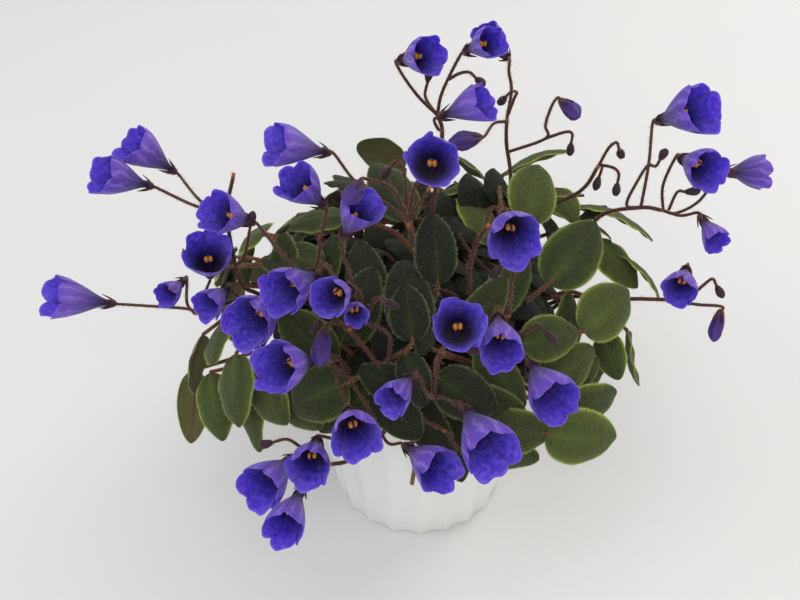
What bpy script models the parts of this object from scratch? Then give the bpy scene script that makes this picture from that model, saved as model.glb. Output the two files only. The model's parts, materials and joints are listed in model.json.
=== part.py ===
# A cape primrose in bloom, standing in a fluted white pot.
# Every length in this file is in millimetres and is turned into metres when a mesh is made.

import math
import random

import bmesh
import bpy
from mathutils import Matrix, Vector

MM = 0.001
GAP = 0.3
WELD = 2e-7
FLAT_ANGLE = 1.5
SEED = 7

# The pot: a round tapered pot whose wall is a ring of shallow hollow flutes.
POT_HEIGHT = 88.0
POT_FOOT_RADIUS = 39.0
POT_TOP_RADIUS = 50.0
POT_RIM_RADIUS = 52.5
POT_RIM_HEIGHT = 11.0
POT_WALL = 2.0
POT_FLOOR = 3.0
FLUTES = 20
FLUTE_DEPTH = 1.7
POINTS_PER_FLUTE = 3
DRAIN_HOLES = 4
DRAIN_RADIUS = 3.5
DRAIN_CIRCLE = 22.0

# The potting soil fills the pot to a little below its rim.
SOIL_TOP = 75.0
SOIL_BUMP = 1.2
STEM_HOLE_DEPTH = 9.0

# Leafy stems, leaf stalks and blades.
STEM_RADIUS = 2.0
LOWEST_PETIOLE = 0.62
PETIOLE_RADIUS = 0.9
SHORT_PETIOLE = 34.0
RIM_CLEARANCE = 4.0
BLADE_THICKNESS = 1.3
BLADE_STATIONS = ((0.16, 0.72), (0.47, 1.0), (0.80, 0.70))
BLADE_DROOP = 0.09
BLADE_CONVEX = 0.16

# Flower stalks, calyces and corollas.
PEDUNCLE_RADIUS = 0.95
PEDICEL_RADIUS = 0.7
PETALS = 5
SEPAL_LENGTH = 5.2
MOUTH_RADIUS = 10.0
PETAL_WALL = 0.75

# The dome of foliage: its middle and its half axes.
DOME_MIDDLE = Vector((-2.0, 12.0, 70.0))
DOME_AXES = Vector((104.0, 88.0, 78.0))


def vec(values):
    return Vector(values)


def dome_normal(point):
    offset = point - DOME_MIDDLE
    return Vector([offset[i] / DOME_AXES[i] ** 2 for i in range(3)]).normalized()


def dome_point(bearing, fall, lift=0.0):
    """A point on the dome: bearing round from +X, fall down from its top, lift outwards."""
    b, f = math.radians(bearing), math.radians(fall)
    way = Vector((math.sin(f) * math.cos(b), math.sin(f) * math.sin(b), math.cos(f)))
    return DOME_MIDDLE + Vector([way[i] * (DOME_AXES[i] + lift) for i in range(3)])


# Leafy stems. Each has the place of its top, then one row for each leaf: the blade's foot,
# its tip, its width, and how far it is rolled about its own length in degrees.
CROWNS = {
    "left": {
        "top": (-48, 8, 100),
        "leaves": [
            ((-83, -7, 107), (-86, -31, 105), 20, 0),
            ((-94, -4, 95), (-100, -21, 76), 18, 40),
            ((-100, -5, 74), (-101, -30, 54), 15, 80),
            ((-90, -19, 87), (-85, -41, 68), 18, -45),
            ((-76, -29, 108), (-76, -52, 89), 22, 0),
            ((-73, -24, 92), (-69, -49, 70), 18, 0),
            ((-70, -29, 104), (-56, -55, 94), 21, 0),
            ((-57, -6, 127), (-58, 11, 140), 14, 0),
            ((-66, 8, 113), (-50, 17, 137), 16, 0),
            ((-40, -5, 136), (-67, 6, 129), 18, 0),
            ((-46, -8, 119), (-34, 9, 141), 17, 0),
        ],
    },
    "front_left": {
        "top": (-22, -30, 100),
        "leaves": [
            ((-60, -30, 96), (-41, -57, 94), 20, 0),
            ((-30, -53, 116), (-54, -50, 97), 24, 0),
            ((-16, -39, 103), (-42, -52, 86), 18, 0),
            ((-36, -34, 106), (-58, -20, 124), 20, 0),
            ((-33, -27, 112), (-20, -12, 140), 22, 0),
            ((-2, -38, 124), (-8, -8, 142), 20, 0),
            ((-4, -42, 128), (-7, -24, 142), 16, 0),
            ((-20, -19, 119), (-26, 7, 139), 18, 0),
            ((-7, -42, 122), (0, -62, 112), 13, 0),
            ((-20, -50, 108), (-1, -68, 101), 18, 0),
            ((-4, -48, 103), (12, -69, 87), 16, 0),
            ((2, -49, 100), (-25, -47, 118), 18, 0),
        ],
    },
    "front_right": {
        "top": (26, -27, 100),
        "leaves": [
            ((4, -36, 118), (-3, -38, 130), 11, 0),
            ((5, -50, 117), (28, -62, 110), 20, 0),
            ((23, -32, 116), (41, -53, 103), 17, 0),
            ((16, -28, 117), (34, -10, 134), 15, 0),
            ((27, -18, 120), (45, 4, 131), 17, 0),
            ((55, -29, 99), (62, -7, 122), 18, 0),
            ((65, -27, 119), (87, -7, 124), 23, 0),
            ((39, -39, 123), (63, -30, 122), 19, 0),
            ((48, -42, 104), (70, -29, 112), 20, 0),
            ((52, -39, 88), (74, -25, 102), 16, 0),
            ((60, -30, 80), (80, -18, 93), 14, 0),
            ((56, -46, 93), (83, -32, 88), 18, 0),
            ((49, -60, 94), (80, -54, 84), 25, 0),
            ((24, -60, 99), (53, -58, 93), 20, 0),
            ((14, -52, 106), (41, -56, 102), 18, 0),
            ((20, -54, 86), (48, -58, 76), 16, 0),
            ((8, -50, 97), (16, -70, 76), 14, 0),
        ],
    },
    "right": {
        "top": (50, 12, 102),
        "leaves": [
            ((45, 17, 140), (51, 43, 152), 22, 0),
            ((51, -14, 133), (72, 8, 148), 24, 0),
            ((66, 30, 100), (86, 40, 112), 15, 0),
            ((80, 38, 112), (98, 24, 98), 16, 60),
            ((90, 36, 107), (108, 19, 97), 16, 0),
            ((87, -11, 104), (91, -26, 86), 17, 160),
            ((76, -14, 106), (82, -30, 94), 14, 75),
        ],
    },
    "back_right": {
        "top": (34, 46, 108),
        "leaves": [
            ((33, 62, 124), (10, 50, 132), 16, 0),
            ((30, 70, 124), (8, 74, 138), 16, 0),
            ((38, 65, 130), (67, 68, 144), 21, 0),
            ((44, 56, 115), (74, 57, 126), 16, 0),
            ((60, 60, 126), (69, 40, 122), 14, 50),
            ((69, 53, 121), (94, 46, 121), 18, 0),
            ((57, 55, 117), (87, 43, 113), 18, 0),
            ((80, 50, 122), (104, 36, 116), 18, 0),
        ],
    },
    "back_left": {
        "top": (-30, 44, 106),
        "leaves": [
            ((-7, 68, 131), (-28, 73, 142), 17, 60),
            ((-14, 42, 124), (-39, 66, 130), 18, 0),
        ],
    },
    "top": {
        "top": (2, 6, 116),
        "leaves": [
            ((-32, 21, 141), (-56, 19, 137), 19, 0),
            ((-5, 11, 146), (-20, 39, 157), 20, 0),
            ((6, -19, 137), (4, -1, 159), 17, 0),
            ((31, 22, 123), (19, 52, 130), 20, 0),
        ],
    },
}

# The far side of the dome: rings of leaves, each with its fall from the top, how many
# leaves it has between the two bearings, and how far outwards it lies.
BACK_BEARINGS = (47, 165)
BACK_RINGS = ((58, 4, -5), (79, 5, -2), (101, 4, -3))
BACK_LEAF_LENGTH = 30
BACK_LEAF_WIDTH = 20
BACK_CROWNS = ((55, "right"), (100, "back_right"), (148, "back_left"), (181, "left"))

# Flowers: the foot of the corolla, the middle of its mouth, and the mouth's size.
BLOOMS = {
    1: ((-106, 40, 150), (-120, 36, 167), 0.95),
    2: ((-114, 28, 151), (-130, 19, 164), 0.95),
    3: ((-132, 2, 108), (-153, -7, 120), 1.0),
    4: ((-102, 10, 114), (-107, -4, 118), 0.6),
    5: ((-81, -1, 120), (-88, -16, 123), 0.7),
    6: ((-89, 4, 122), (-87, -4, 142), 1.1),
    7: ((-70, 11, 145), (-82, 0, 159), 0.95),
    8: ((-38, 18, 175), (-57, 10, 185), 0.95),
    9: ((-39, -8, 168), (-48, -14, 185), 0.9),
    10: ((-31, -17, 160), (-23, -20, 178), 0.9),
    11: ((-41, -27, 150), (-53, -46, 157), 1.0),
    12: ((-57, -20, 130), (-68, -40, 136), 1.15),
    13: ((-27, -40, 153), (-35, -55, 163), 0.8),
    14: ((-28, -38, 145), (-25, -52, 151), 0.5),
    15: ((-42, -50, 126), (-55, -66, 138), 1.1),
    17: ((-29, -65, 114), (-25, -85, 121), 1.0),
    18: ((-4, -64, 131), (-12, -79, 134), 0.7),
    19: ((-7, -75, 104), (6, -93, 111), 0.95),
    20: ((15, -70, 120), (24, -94, 123), 1.15),
    21: ((42, -44, 118), (50, -67, 121), 1.1),
    22: ((28, -44, 144), (28, -67, 147), 0.9),
    23: ((12, -54, 142), (12, -66, 160), 1.05),
    24: ((30, -18, 172), (33, -39, 177), 1.1),
    25: ((2, -14, 188), (3, -30, 206), 1.05),
    26: ((-9, 33, 208), (2, 21, 218), 0.85),
    27: ((7, 21, 190), (23, 17, 200), 0.85),
    28: ((16, 23, 218), (25, 12, 229), 0.7),
    29: ((33, 36, 208), (24, 26, 223), 0.7),
    32: ((99, 45, 172), (112, 31, 188), 1.15),
    33: ((108, 33, 162), (115, 15, 169), 0.95),
    34: ((126, 26, 160), (142, 31, 156), 0.8),
    35: ((114, 8, 150), (118, -6, 149), 0.6),
    36: ((109, -3, 132), (103, -19, 134), 0.8),
    38: ((-52, -68, 89), (-62, -89, 96), 1.0),
    39: ((-41, -68, 100), (-43, -89, 108), 0.9),
    40: ((-47, -83, 88), (-52, -107, 95), 0.85),
}

# Flowers that are still shut, or shut again and withered: foot, tip and half width.
SHUT_FLOWERS = {
    16: ((-38, -45, 136), (-39, -63, 135), 3.4),
    30: ((24, 39, 168), (11, 30, 171), 3.6),
    31: ((56, 32, 190), (62, 22, 189), 3.0),
    37: ((123, -15, 118), (119, -26, 112), 2.6),
    41: ((-24, -16, 185), (-29, -27, 184), 3.2),
}

# Flower sprays. A row gives what the stalk ends in, then the points that it runs through
# from its fork: a number is a flower, "bud" a small bud, "cut" a bare end.
# The first row is the main stalk, which starts beside its leafy stem at a side angle.
SPRAYS = {
    "low_left": ("left", 315, 0.55, [
        ("cut", (-49, -3, 107), (-68, -6, 110), (-75, 0, 112), (-81, -4, 114), (-95, -9, 112)),
        (3, (-95, -9, 112), (-98, -7, 113), (-115, -3, 111)),
        (4, (-95, -9, 112), (-99, -3, 113)),
        (6, (-95, -9, 112), (-92, -3, 116)),
        (5, (-76, -1, 113), (-80, 1, 116)),
    ]),
    "high_left": ("left", 145, 0.2, [
        ("cut", (-67, 3, 111), (-75, -2, 122), (-78, 3, 133), (-80, 11, 150), (-77, 21, 163)),
        (1, (-80, 11, 150), (-91, 16, 152)),
        (2, (-80, 11, 150), (-93, 13, 152)),
        ("bud", (-77, 1, 130), (-73, 0, 136), (-70, 5, 148)),
    ]),
    "mid_left": ("left", 300, 0.3, [
        ("cut", (-41, -5, 108), (-41, -14, 122), (-46, -16, 136)),
        (7, (-46, -16, 136), (-59, -3, 143)),
        (9, (-46, -16, 136), (-42, -13, 144), (-40, -12, 156)),
        (12, (-41, -14, 122), (-53, -17, 131)),
    ]),
    "middle": ("top", 295, 0.2, [
        ("cut", (6, -8, 119), (4, -15, 131), (-1, -11, 142), (-6, -3, 156)),
        (8, (-6, -3, 156), (-11, 1, 159), (-26, 8, 167)),
        (25, (-6, -3, 156), (-3, -2, 174)),
        ("cut", (-6, -3, 156), (3, 2, 170)),
        (41, (-6, -3, 156), (-8, -8, 168), (-13, -13, 181)),
        ("bud", (-6, -3, 156), (-7, 4, 172), (-9, 8, 177), (-11, 9, 177), (-13, 9, 174)),
    ]),
    "tall": ("top", 90, 0.7, [
        ("cut", (4, 17, 140), (7, 24, 165), (8, 26, 180), (6, 27, 187)),
        (26, (6, 27, 187), (-1, 28, 194), (-7, 28, 203)),
        (27, (8, 26, 180), (6, 22, 184)),
        (28, (6, 27, 187), (7, 26, 196), (10, 26, 205)),
        ("bud", (6, 27, 187), (3, 29, 190), (1, 32, 193), (2, 34, 198)),
        ("bud", (10, 26, 204), (14, 27, 206), (18, 28, 206), (21, 30, 202)),
    ]),
    "back": ("back_right", 300, 0.45, [
        ("cut", (40, 52, 128), (38, 62, 150), (37, 57, 166)),
        (29, (37, 57, 166), (37, 47, 186), (35, 43, 197)),
        (30, (37, 57, 164), (31, 51, 167)),
        ("bud", (37, 55, 168), (39, 52, 179), (40, 53, 181), (38, 57, 179), (36, 59, 175)),
        (31, (39, 60, 146), (54, 53, 158), (53, 51, 166), (53, 40, 182)),
        ("bud", (54, 53, 158), (62, 52, 162), (65, 52, 161), (65, 52, 156)),
    ]),
    "behind_right": ("back_right", 320, 0.65, [
        ("cut", (50, 42, 124), (69, 39, 140), (75, 35, 157)),
        ("bud", (75, 35, 157), (77, 31, 168), (80, 31, 171), (82, 33, 166)),
        ("bud", (75, 35, 157), (80, 30, 159), (82, 27, 158), (82, 27, 153)),
        ("bud", (75, 35, 157), (77, 38, 154), (76, 37, 149)),
    ]),
    "high_right": ("right", 0, 0.45, [
        ("cut", (60, 10, 100), (66, 20, 118), (78, 34, 130), (92, 21, 145), (101, 19, 145)),
        (32, (92, 21, 145), (93, 24, 165)),
        (33, (101, 19, 145), (101, 26, 153)),
        (34, (101, 19, 145), (106, 16, 146), (115, 17, 152)),
        (35, (101, 19, 145), (107, 13, 147)),
        ("bud", (93, 24, 165), (95, 20, 167), (96, 19, 171)),
        ("cut", (92, 21, 145), (86, 22, 146), (91, 26, 158), (93, 25, 164)),
        ("bud", (103, 18, 146), (106, 21, 153), (109, 20, 154)),
    ]),
    "low_right": ("right", 340, 0.55, [
        ("cut", (64, 6, 108), (80, 0, 112), (90, -4, 116), (103, -9, 120)),
        (37, (103, -9, 120), (113, -13, 121)),
        (36, (103, -9, 120), (107, -5, 126)),
        ("bud", (109, -11, 121), (116, -7, 126), (120, -5, 128), (122, -6, 125)),
    ]),
    "front_right": ("front_right", 115, 0.6, [
        ("cut", (22, -17, 112), (20, -15, 125), (19, -11, 138), (21, -15, 155), (25, -17, 166)),
        (24, (24, -16, 164), (26, -13, 171)),
        ("cut", (22, -17, 112), (30, -30, 122), (31, -40, 134), (33, -40, 140)),
        (22, (31, -40, 136), (29, -39, 143)),
        ("bud", (33, -40, 140), (34, -31, 146), (35, -28, 155), (33, -26, 156), (30, -26, 152)),
        ("bud", (29, -29, 121), (38, -36, 126), (45, -36, 131), (48, -38, 129)),
        (21, (29, -29, 121), (38, -36, 122)),
    ]),
    "front": ("front_left", 345, 0.2, [
        ("cut", (-12, -36, 104), (1, -41, 113), (4, -58, 113)),
        (23, (4, -58, 113), (7, -48, 128)),
        (18, (4, -58, 113), (1, -63, 121)),
        (20, (4, -58, 113), (8, -60, 115), (12, -66, 118)),
        ("bud", (7, -48, 128), (9, -54, 138), (15, -55, 137)),
        ("cut", (1, -41, 113), (-2, -59, 106), (9, -67, 103)),
        ("bud", (9, -67, 103), (12, -74, 104), (16, -78, 102)),
    ]),
    "low_front": ("front_left", 300, 0.3, [
        ("cut", (-19, -45, 93), (-15, -62, 98), (-28, -72, 93), (-36, -74, 92)),
        (40, (-36, -74, 92), (-45, -77, 91)),
        (38, (-36, -74, 92), (-46, -71, 94)),
        (39, (-15, -62, 98), (-28, -68, 99)),
        ("bud", (-43, -72, 94), (-48, -70, 98), (-53, -68, 100), (-59, -67, 97)),
    ]),
    "mid_front": ("front_left", 230, 0.3, [
        ("cut", (-28, -36, 99), (-31, -40, 112), (-34, -42, 119), (-36, -46, 120)),
        (17, (-36, -46, 120), (-32, -56, 116)),
        (19, (-36, -46, 120), (-28, -52, 115), (-20, -63, 109), (-14, -73, 104)),
        (15, (-34, -42, 119), (-40, -45, 123)),
    ]),
    "centre": ("front_left", 65, 0.2, [
        ("cut", (-15, -29, 109), (-15, -45, 114), (-22, -44, 125), (-29, -41, 134)),
        (16, (-29, -41, 134), (-34, -42, 138)),
        ("bud", (-29, -41, 134), (-33, -40, 137), (-38, -39, 140), (-40, -40, 137)),
        ("cut", (-15, -45, 114), (-13, -41, 130), (-23, -40, 136), (-26, -41, 140)),
        (14, (-26, -41, 140), (-30, -38, 143)),
        (13, (-26, -41, 140), (-24, -38, 146)),
        (11, (-26, -41, 140), (-33, -36, 150), (-37, -26, 153)),
        (10, (-26, -41, 140), (-28, -28, 148), (-31, -20, 153)),
        ("bud", (-23, -40, 136), (-20, -40, 145), (-17, -40, 149), (-14, -39, 146)),
    ]),
}
BUD_LENGTH = 6.5
BUD_RADIUS = 1.8


def clear_scene():
    for item in list(bpy.data.objects):
        bpy.data.objects.remove(item, do_unlink=True)
    for group in list(bpy.data.collections):
        bpy.data.collections.remove(group)


def new_collection(name):
    group = bpy.data.collections.new(name)
    bpy.context.scene.collection.children.link(group)
    return group


def new_material(name, colour, roughness):
    surface = bpy.data.materials.new(name)
    surface.use_nodes = True
    shader = surface.node_tree.nodes["Principled BSDF"]
    shader.inputs["Base Color"].default_value = (*colour, 1.0)
    shader.inputs["Roughness"].default_value = roughness
    shader.inputs["Metallic"].default_value = 0.0
    return surface


def new_object(name, shape, group):
    """An object from a bmesh in metres, which is used up."""
    bmesh.ops.recalc_face_normals(shape, faces=shape.faces)
    if shape.calc_volume(signed=True) < 0:
        bmesh.ops.reverse_faces(shape, faces=shape.faces)
    mesh = bpy.data.meshes.new(name)
    shape.to_mesh(mesh)
    shape.free()
    item = bpy.data.objects.new(name, mesh)
    group.objects.link(item)
    return item


def join_rings(shape, near, far):
    """Triangles between two rings that may have unlike numbers of points."""
    m, n = len(near), len(far)
    if m == 1 or n == 1:
        ring, pole = (far, near[0]) if m == 1 else (near, far[0])
        for k in range(len(ring)):
            shape.faces.new((pole, ring[k], ring[(k + 1) % len(ring)]))
        return
    i = j = 0
    while i < m or j < n:
        if i >= m or (j < n and (j + 1) * m <= (i + 1) * n):
            shape.faces.new((near[i % m], far[j % n], far[(j + 1) % n]))
            j += 1
        else:
            shape.faces.new((near[i % m], far[j % n], near[(i + 1) % m]))
            i += 1


def loft(rings):
    """A closed skin over rings of points in millimetres; the last ring is a pole of one point.

    A first ring of more points is closed by a flat face.
    """
    shape = bmesh.new()
    rows = [[shape.verts.new(point * MM) for point in ring] for ring in rings]
    for near, far in zip(rows, rows[1:]):
        join_rings(shape, near, far)
    if len(rows[0]) > 1:
        shape.faces.new(rows[0])
    return shape


def level_ring(radius, height, count, wave=None):
    """A level ring round the Z axis; wave takes an angle and gives a change of radius."""
    ring = []
    for k in range(count):
        angle = 2 * math.pi * k / count
        reach = radius + (wave(angle) if wave else 0.0)
        ring.append(Vector((reach * math.cos(angle), reach * math.sin(angle), height)))
    return ring


def smooth_path(points, steps):
    """A smooth curve through all the points, with some steps between each two."""
    path = [points[0] * 2 - points[1], *points, points[-1] * 2 - points[-2]]
    curve = []
    for a, b, c, d in zip(path, path[1:], path[2:], path[3:]):
        for k in range(steps):
            t = k / steps
            curve.append(0.5 * ((2 * b) + (c - a) * t + (2 * a - 5 * b + 4 * c - d) * t ** 2
                                + (3 * b - a - 3 * c + d) * t ** 3))
    return [*curve, points[-1]]


def tube(name, points, radii, group, sides=4):
    """A stalk of round section along the points, thinning from the first radius to the last."""
    line = bpy.data.curves.new(name, "CURVE")
    line.dimensions = "3D"
    line.bevel_depth = MM
    line.bevel_resolution = (sides - 4) // 2
    line.use_fill_caps = True
    spline = line.splines.new("POLY")
    spline.points.add(len(points) - 1)
    for k, point in enumerate(points):
        share = k / (len(points) - 1)
        spline.points[k].co = (*(point * MM), 1.0)
        spline.points[k].radius = radii[0] + (radii[1] - radii[0]) * share
    holder = bpy.data.objects.new(name, line)
    group.objects.link(holder)
    bpy.context.view_layer.update()
    ready = holder.evaluated_get(bpy.context.evaluated_depsgraph_get())
    mesh = bpy.data.meshes.new_from_object(ready)
    shape = bmesh.new()
    shape.from_mesh(mesh)
    bmesh.ops.remove_doubles(shape, verts=shape.verts, dist=1e-6)
    bmesh.ops.transform(shape, matrix=holder.matrix_world, verts=shape.verts)
    bpy.data.objects.remove(holder, do_unlink=True)
    bpy.data.meshes.remove(mesh)
    return new_object(name, shape, group)


def boolean(item, group, operation):
    """One Boolean with all the objects of a collection, applied; the objects are removed."""
    step = item.modifiers.new(operation.lower(), "BOOLEAN")
    step.operation = operation
    step.solver = "MANIFOLD"
    step.operand_type = "COLLECTION"
    step.collection = group
    bpy.context.view_layer.update()
    ready = item.evaluated_get(bpy.context.evaluated_depsgraph_get())
    mesh = bpy.data.meshes.new_from_object(ready)
    item.modifiers.clear()
    item.data = mesh
    for other in list(group.objects):
        bpy.data.objects.remove(other, do_unlink=True)
    bpy.data.collections.remove(group)


def drop_flaps(shape):
    """Removes pairs of faces that lie back to back on the same points."""
    seen = {}
    for face in shape.faces:
        seen.setdefault(frozenset(face.verts), []).append(face)
    flaps = [face for pair in seen.values() if len(pair) > 1 for face in pair]
    bmesh.ops.delete(shape, geom=flaps, context="FACES")


def finish(item, name, surface, group):
    """Tidies the mesh, gives it its name, its material and smooth shading."""
    shape = bmesh.new()
    shape.from_mesh(item.data)
    bmesh.ops.remove_doubles(shape, verts=shape.verts, dist=WELD)
    bmesh.ops.dissolve_degenerate(shape, edges=shape.edges, dist=WELD)
    bmesh.ops.dissolve_limit(shape, angle_limit=math.radians(FLAT_ANGLE), verts=shape.verts,
                             edges=shape.edges)
    bmesh.ops.triangulate(shape, faces=shape.faces)
    drop_flaps(shape)
    shape.to_mesh(item.data)
    shape.free()
    item.name = name
    item.data.name = name
    item.data.materials.clear()
    item.data.materials.append(surface)
    item.data.shade_smooth()
    item.data.set_sharp_from_angle(angle=math.radians(40))
    for holder in list(item.users_collection):
        holder.objects.unlink(item)
    group.objects.link(item)
    return item


def pot_radius(height):
    """The ridges' radius, which widens evenly up to the rim."""
    share = height / (POT_HEIGHT - POT_RIM_HEIGHT)
    return POT_FOOT_RADIUS + (POT_TOP_RADIUS - POT_FOOT_RADIUS) * share


def bore_radius(height):
    return pot_radius(height) - FLUTE_DEPTH - POT_WALL


def flute(depth):
    """The change of radius round the wall: nothing on a ridge, depth in mid flute."""
    def wave(angle):
        share = (angle * FLUTES / (2 * math.pi)) % 1.0
        return -depth * (1 - (2 * share - 1) ** 2)
    return wave


def build_pot(group):
    around = FLUTES * POINTS_PER_FLUTE
    plain = around // 2
    shoulder = POT_HEIGHT - POT_RIM_HEIGHT
    inner_rim = POT_RIM_RADIUS - POT_WALL
    rings = [
        [Vector((0, 0, 0))],
        level_ring(POT_FOOT_RADIUS - 2.2, 0, around, flute(FLUTE_DEPTH * 0.4)),
        level_ring(pot_radius(shoulder - 2), shoulder - 2, around, flute(FLUTE_DEPTH)),
        level_ring(POT_RIM_RADIUS - 0.8, shoulder, plain),
        level_ring(POT_RIM_RADIUS, shoulder + 1, plain),
        level_ring(POT_RIM_RADIUS, POT_HEIGHT - 1, plain),
        level_ring(POT_RIM_RADIUS - 0.8, POT_HEIGHT, plain),
        level_ring(inner_rim, POT_HEIGHT, plain),
        level_ring(inner_rim, shoulder + 2, plain),
        level_ring(bore_radius(shoulder), shoulder, plain),
        level_ring(bore_radius(POT_FLOOR), POT_FLOOR, plain),
        [Vector((0, 0, POT_FLOOR))],
    ]
    pot = new_object("pot_body", loft(rings), group)
    cutters = new_collection("pot_cutters")
    for k in range(DRAIN_HOLES):
        angle = 2 * math.pi * (k + 0.5) / DRAIN_HOLES
        hole = bmesh.new()
        bmesh.ops.create_cone(hole, cap_ends=True, segments=8, radius1=DRAIN_RADIUS * MM,
                              radius2=DRAIN_RADIUS * MM, depth=4 * POT_FLOOR * MM)
        place = Vector((DRAIN_CIRCLE * math.cos(angle), DRAIN_CIRCLE * math.sin(angle), 0))
        bmesh.ops.translate(hole, verts=hole.verts, vec=place * MM)
        new_object("drain_cutter", hole, cutters)
    boolean(pot, cutters, "DIFFERENCE")
    finish(pot, "pot", new_material("white_plastic", (0.90, 0.90, 0.88), 0.35), group)


def stem_foot(crown):
    """Where a leafy stem stands in the soil: drawn in towards the middle of the pot."""
    top = vec(CROWNS[crown]["top"])
    return Vector((top.x * 0.56, top.y * 0.56, SOIL_TOP - STEM_HOLE_DEPTH + GAP))


def stem_path(crown):
    """A leafy stem: upright out of the soil, then leaning out to its top."""
    foot, top = stem_foot(crown), vec(CROWNS[crown]["top"])
    collar = Vector((foot.x, foot.y, SOIL_TOP + 4))
    middle = collar.lerp(top, 0.5) + Vector((0, 0, 2))
    return [foot, *smooth_path([collar, middle, top], 3)]


def build_soil(group):
    around = FLUTES * POINTS_PER_FLUTE // 2
    lower, upper = POT_FLOOR + GAP, SOIL_TOP
    rings = [
        [Vector((0, 0, lower))],
        level_ring(bore_radius(lower) - GAP - 0.1, lower, around),
        level_ring(bore_radius(upper) - GAP - 0.1, upper, around),
    ]
    for share, count in ((0.7, 15),):
        ring = level_ring(bore_radius(upper) * share, upper, count)
        rings.append([p + Vector((0, 0, SOIL_BUMP * math.sin(5 * p.x + 3 * p.y))) for p in ring])
    rings.append([Vector((0, 0, upper + SOIL_BUMP))])
    soil = new_object("soil_body", loft(rings), group)
    cutters = new_collection("soil_cutters")
    for crown in CROWNS:
        hole = bmesh.new()
        radius = (STEM_RADIUS + GAP + 0.1) * MM
        bmesh.ops.create_cone(hole, cap_ends=True, segments=8, radius1=radius,
                              radius2=radius, depth=2 * STEM_HOLE_DEPTH * MM)
        foot = stem_foot(crown)
        bmesh.ops.translate(hole, verts=hole.verts, vec=Vector((foot.x, foot.y, SOIL_TOP)) * MM)
        new_object("stem_cutter", hole, cutters)
    boolean(soil, cutters, "DIFFERENCE")
    finish(soil, "soil", new_material("potting_soil", (0.06, 0.04, 0.03), 0.95), group)


def blade_frame(foot, tip, roll):
    """Across, along and upward directions of a leaf blade."""
    along = (tip - foot).normalized()
    upward = dome_normal((foot + tip) / 2)
    upward = (upward - upward.dot(along) * along).normalized()
    upward = Matrix.Rotation(math.radians(roll), 3, along) @ upward
    return along.cross(upward), along, upward


def petiole_bend(start, foot, along):
    """The bend of a leaf's stalk: over the pot's rim, or arched if the stalk is long."""
    reach = (foot - start).length
    if foot.z < POT_HEIGHT + RIM_CLEARANCE:
        outward = Vector((foot.x, foot.y, 0)).normalized() * POT_RIM_RADIUS
        return [outward + Vector((0, 0, POT_HEIGHT + RIM_CLEARANCE))]
    if reach > SHORT_PETIOLE:
        return [start.lerp(foot - along * reach * 0.35, 0.55) + Vector((0, 0, 0.10 * reach))]
    return []


def leaf(start, foot, tip, width, roll, group):
    """A leaf: a stalk of square section that widens into an arched, egg-shaped blade."""
    across, along, upward = blade_frame(foot, tip, roll)
    length = (tip - foot).length
    rings = []
    stalk = [start, *petiole_bend(start, foot, along), foot]
    for k, place in enumerate(stalk):
        way = (stalk[k + 1] - stalk[max(k - 1, 0)]).normalized() if place != foot else along
        side = (across - across.dot(way) * way).normalized()
        over = side.cross(way)
        size = PETIOLE_RADIUS
        rings.append([place + side * size, place + over * size, place - side * size, place - over * size])
    for share, swell in BLADE_STATIONS:
        half = swell * width / 2
        arch = BLADE_DROOP * length * (1 - (2 * share - 1) ** 2)
        middle = foot + along * (share * length) + upward * arch
        edge = upward * (BLADE_CONVEX * half)
        rings.append([middle + across * half - edge, middle + upward * BLADE_THICKNESS / 2,
                      middle - across * half - edge, middle - upward * BLADE_THICKNESS / 2])
    rings.append([tip])
    return new_object("leaf", loft(rings), group)


def back_leaves():
    """Leaves of the dome's far side, by ring, each given to the nearest leafy stem."""
    chance = random.Random(SEED)
    rows = []
    first, last = BACK_BEARINGS
    for fall, count, lift in BACK_RINGS:
        for k in range(count):
            bearing = first + (last - first) * (k + 0.5) / count + chance.uniform(-4, 4)
            middle = dome_point(bearing, fall + chance.uniform(-3, 3), lift)
            down = dome_point(bearing, fall + 8, lift) - middle
            turn = Matrix.Rotation(math.radians(chance.uniform(-25, 25)), 3, dome_normal(middle))
            along = (turn @ down).normalized() * BACK_LEAF_LENGTH / 2
            rise = dome_normal(middle) * 3
            crown = next(name for limit, name in BACK_CROWNS if bearing < limit)
            rows.append((crown, (middle - along - rise, middle + along + rise,
                                 BACK_LEAF_WIDTH, chance.uniform(-12, 12))))
    return rows


def petiole_start(path, share, foot):
    """A place in the upper part of a leafy stem, a little to the side that the leaf is on."""
    place = (LOWEST_PETIOLE + (0.96 - LOWEST_PETIOLE) * share) * (len(path) - 1)
    low = int(place)
    point = path[low].lerp(path[low + 1], place - low)
    way = (foot - point).normalized()
    return point + way * 0.8


def build_crowns(group):
    extra = back_leaves()
    for crown, plan in CROWNS.items():
        path = stem_path(crown)
        stem = tube("stem", path, (STEM_RADIUS, STEM_RADIUS * 0.75), group, sides=6)
        leaves = [(vec(foot), vec(tip), width, roll) for foot, tip, width, roll in plan["leaves"]]
        leaves += [row for name, row in extra if name == crown]
        leaves.sort(key=lambda row: row[0].z)
        parts = new_collection("leaves_" + crown)
        for k, (foot, tip, width, roll) in enumerate(leaves):
            start = petiole_start(path, (k + 0.5) / len(leaves), foot)
            leaf(start, foot, tip, width, roll, parts)
        boolean(stem, parts, "UNION")
        finish(stem, "leafy_stem_" + crown, new_material("leaf_green", (0.10, 0.16, 0.07), 0.8), group)


def axis_frame(foot, mouth):
    """Side, top and axis directions of a flower; its top is turned to the sky."""
    axis = (mouth - foot).normalized()
    sky = Vector((0, 0, 1)) if abs(axis.z) < 0.95 else Vector((0, 1, 0))
    top = (sky - sky.dot(axis) * axis).normalized()
    return top.cross(axis), top, axis


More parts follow.
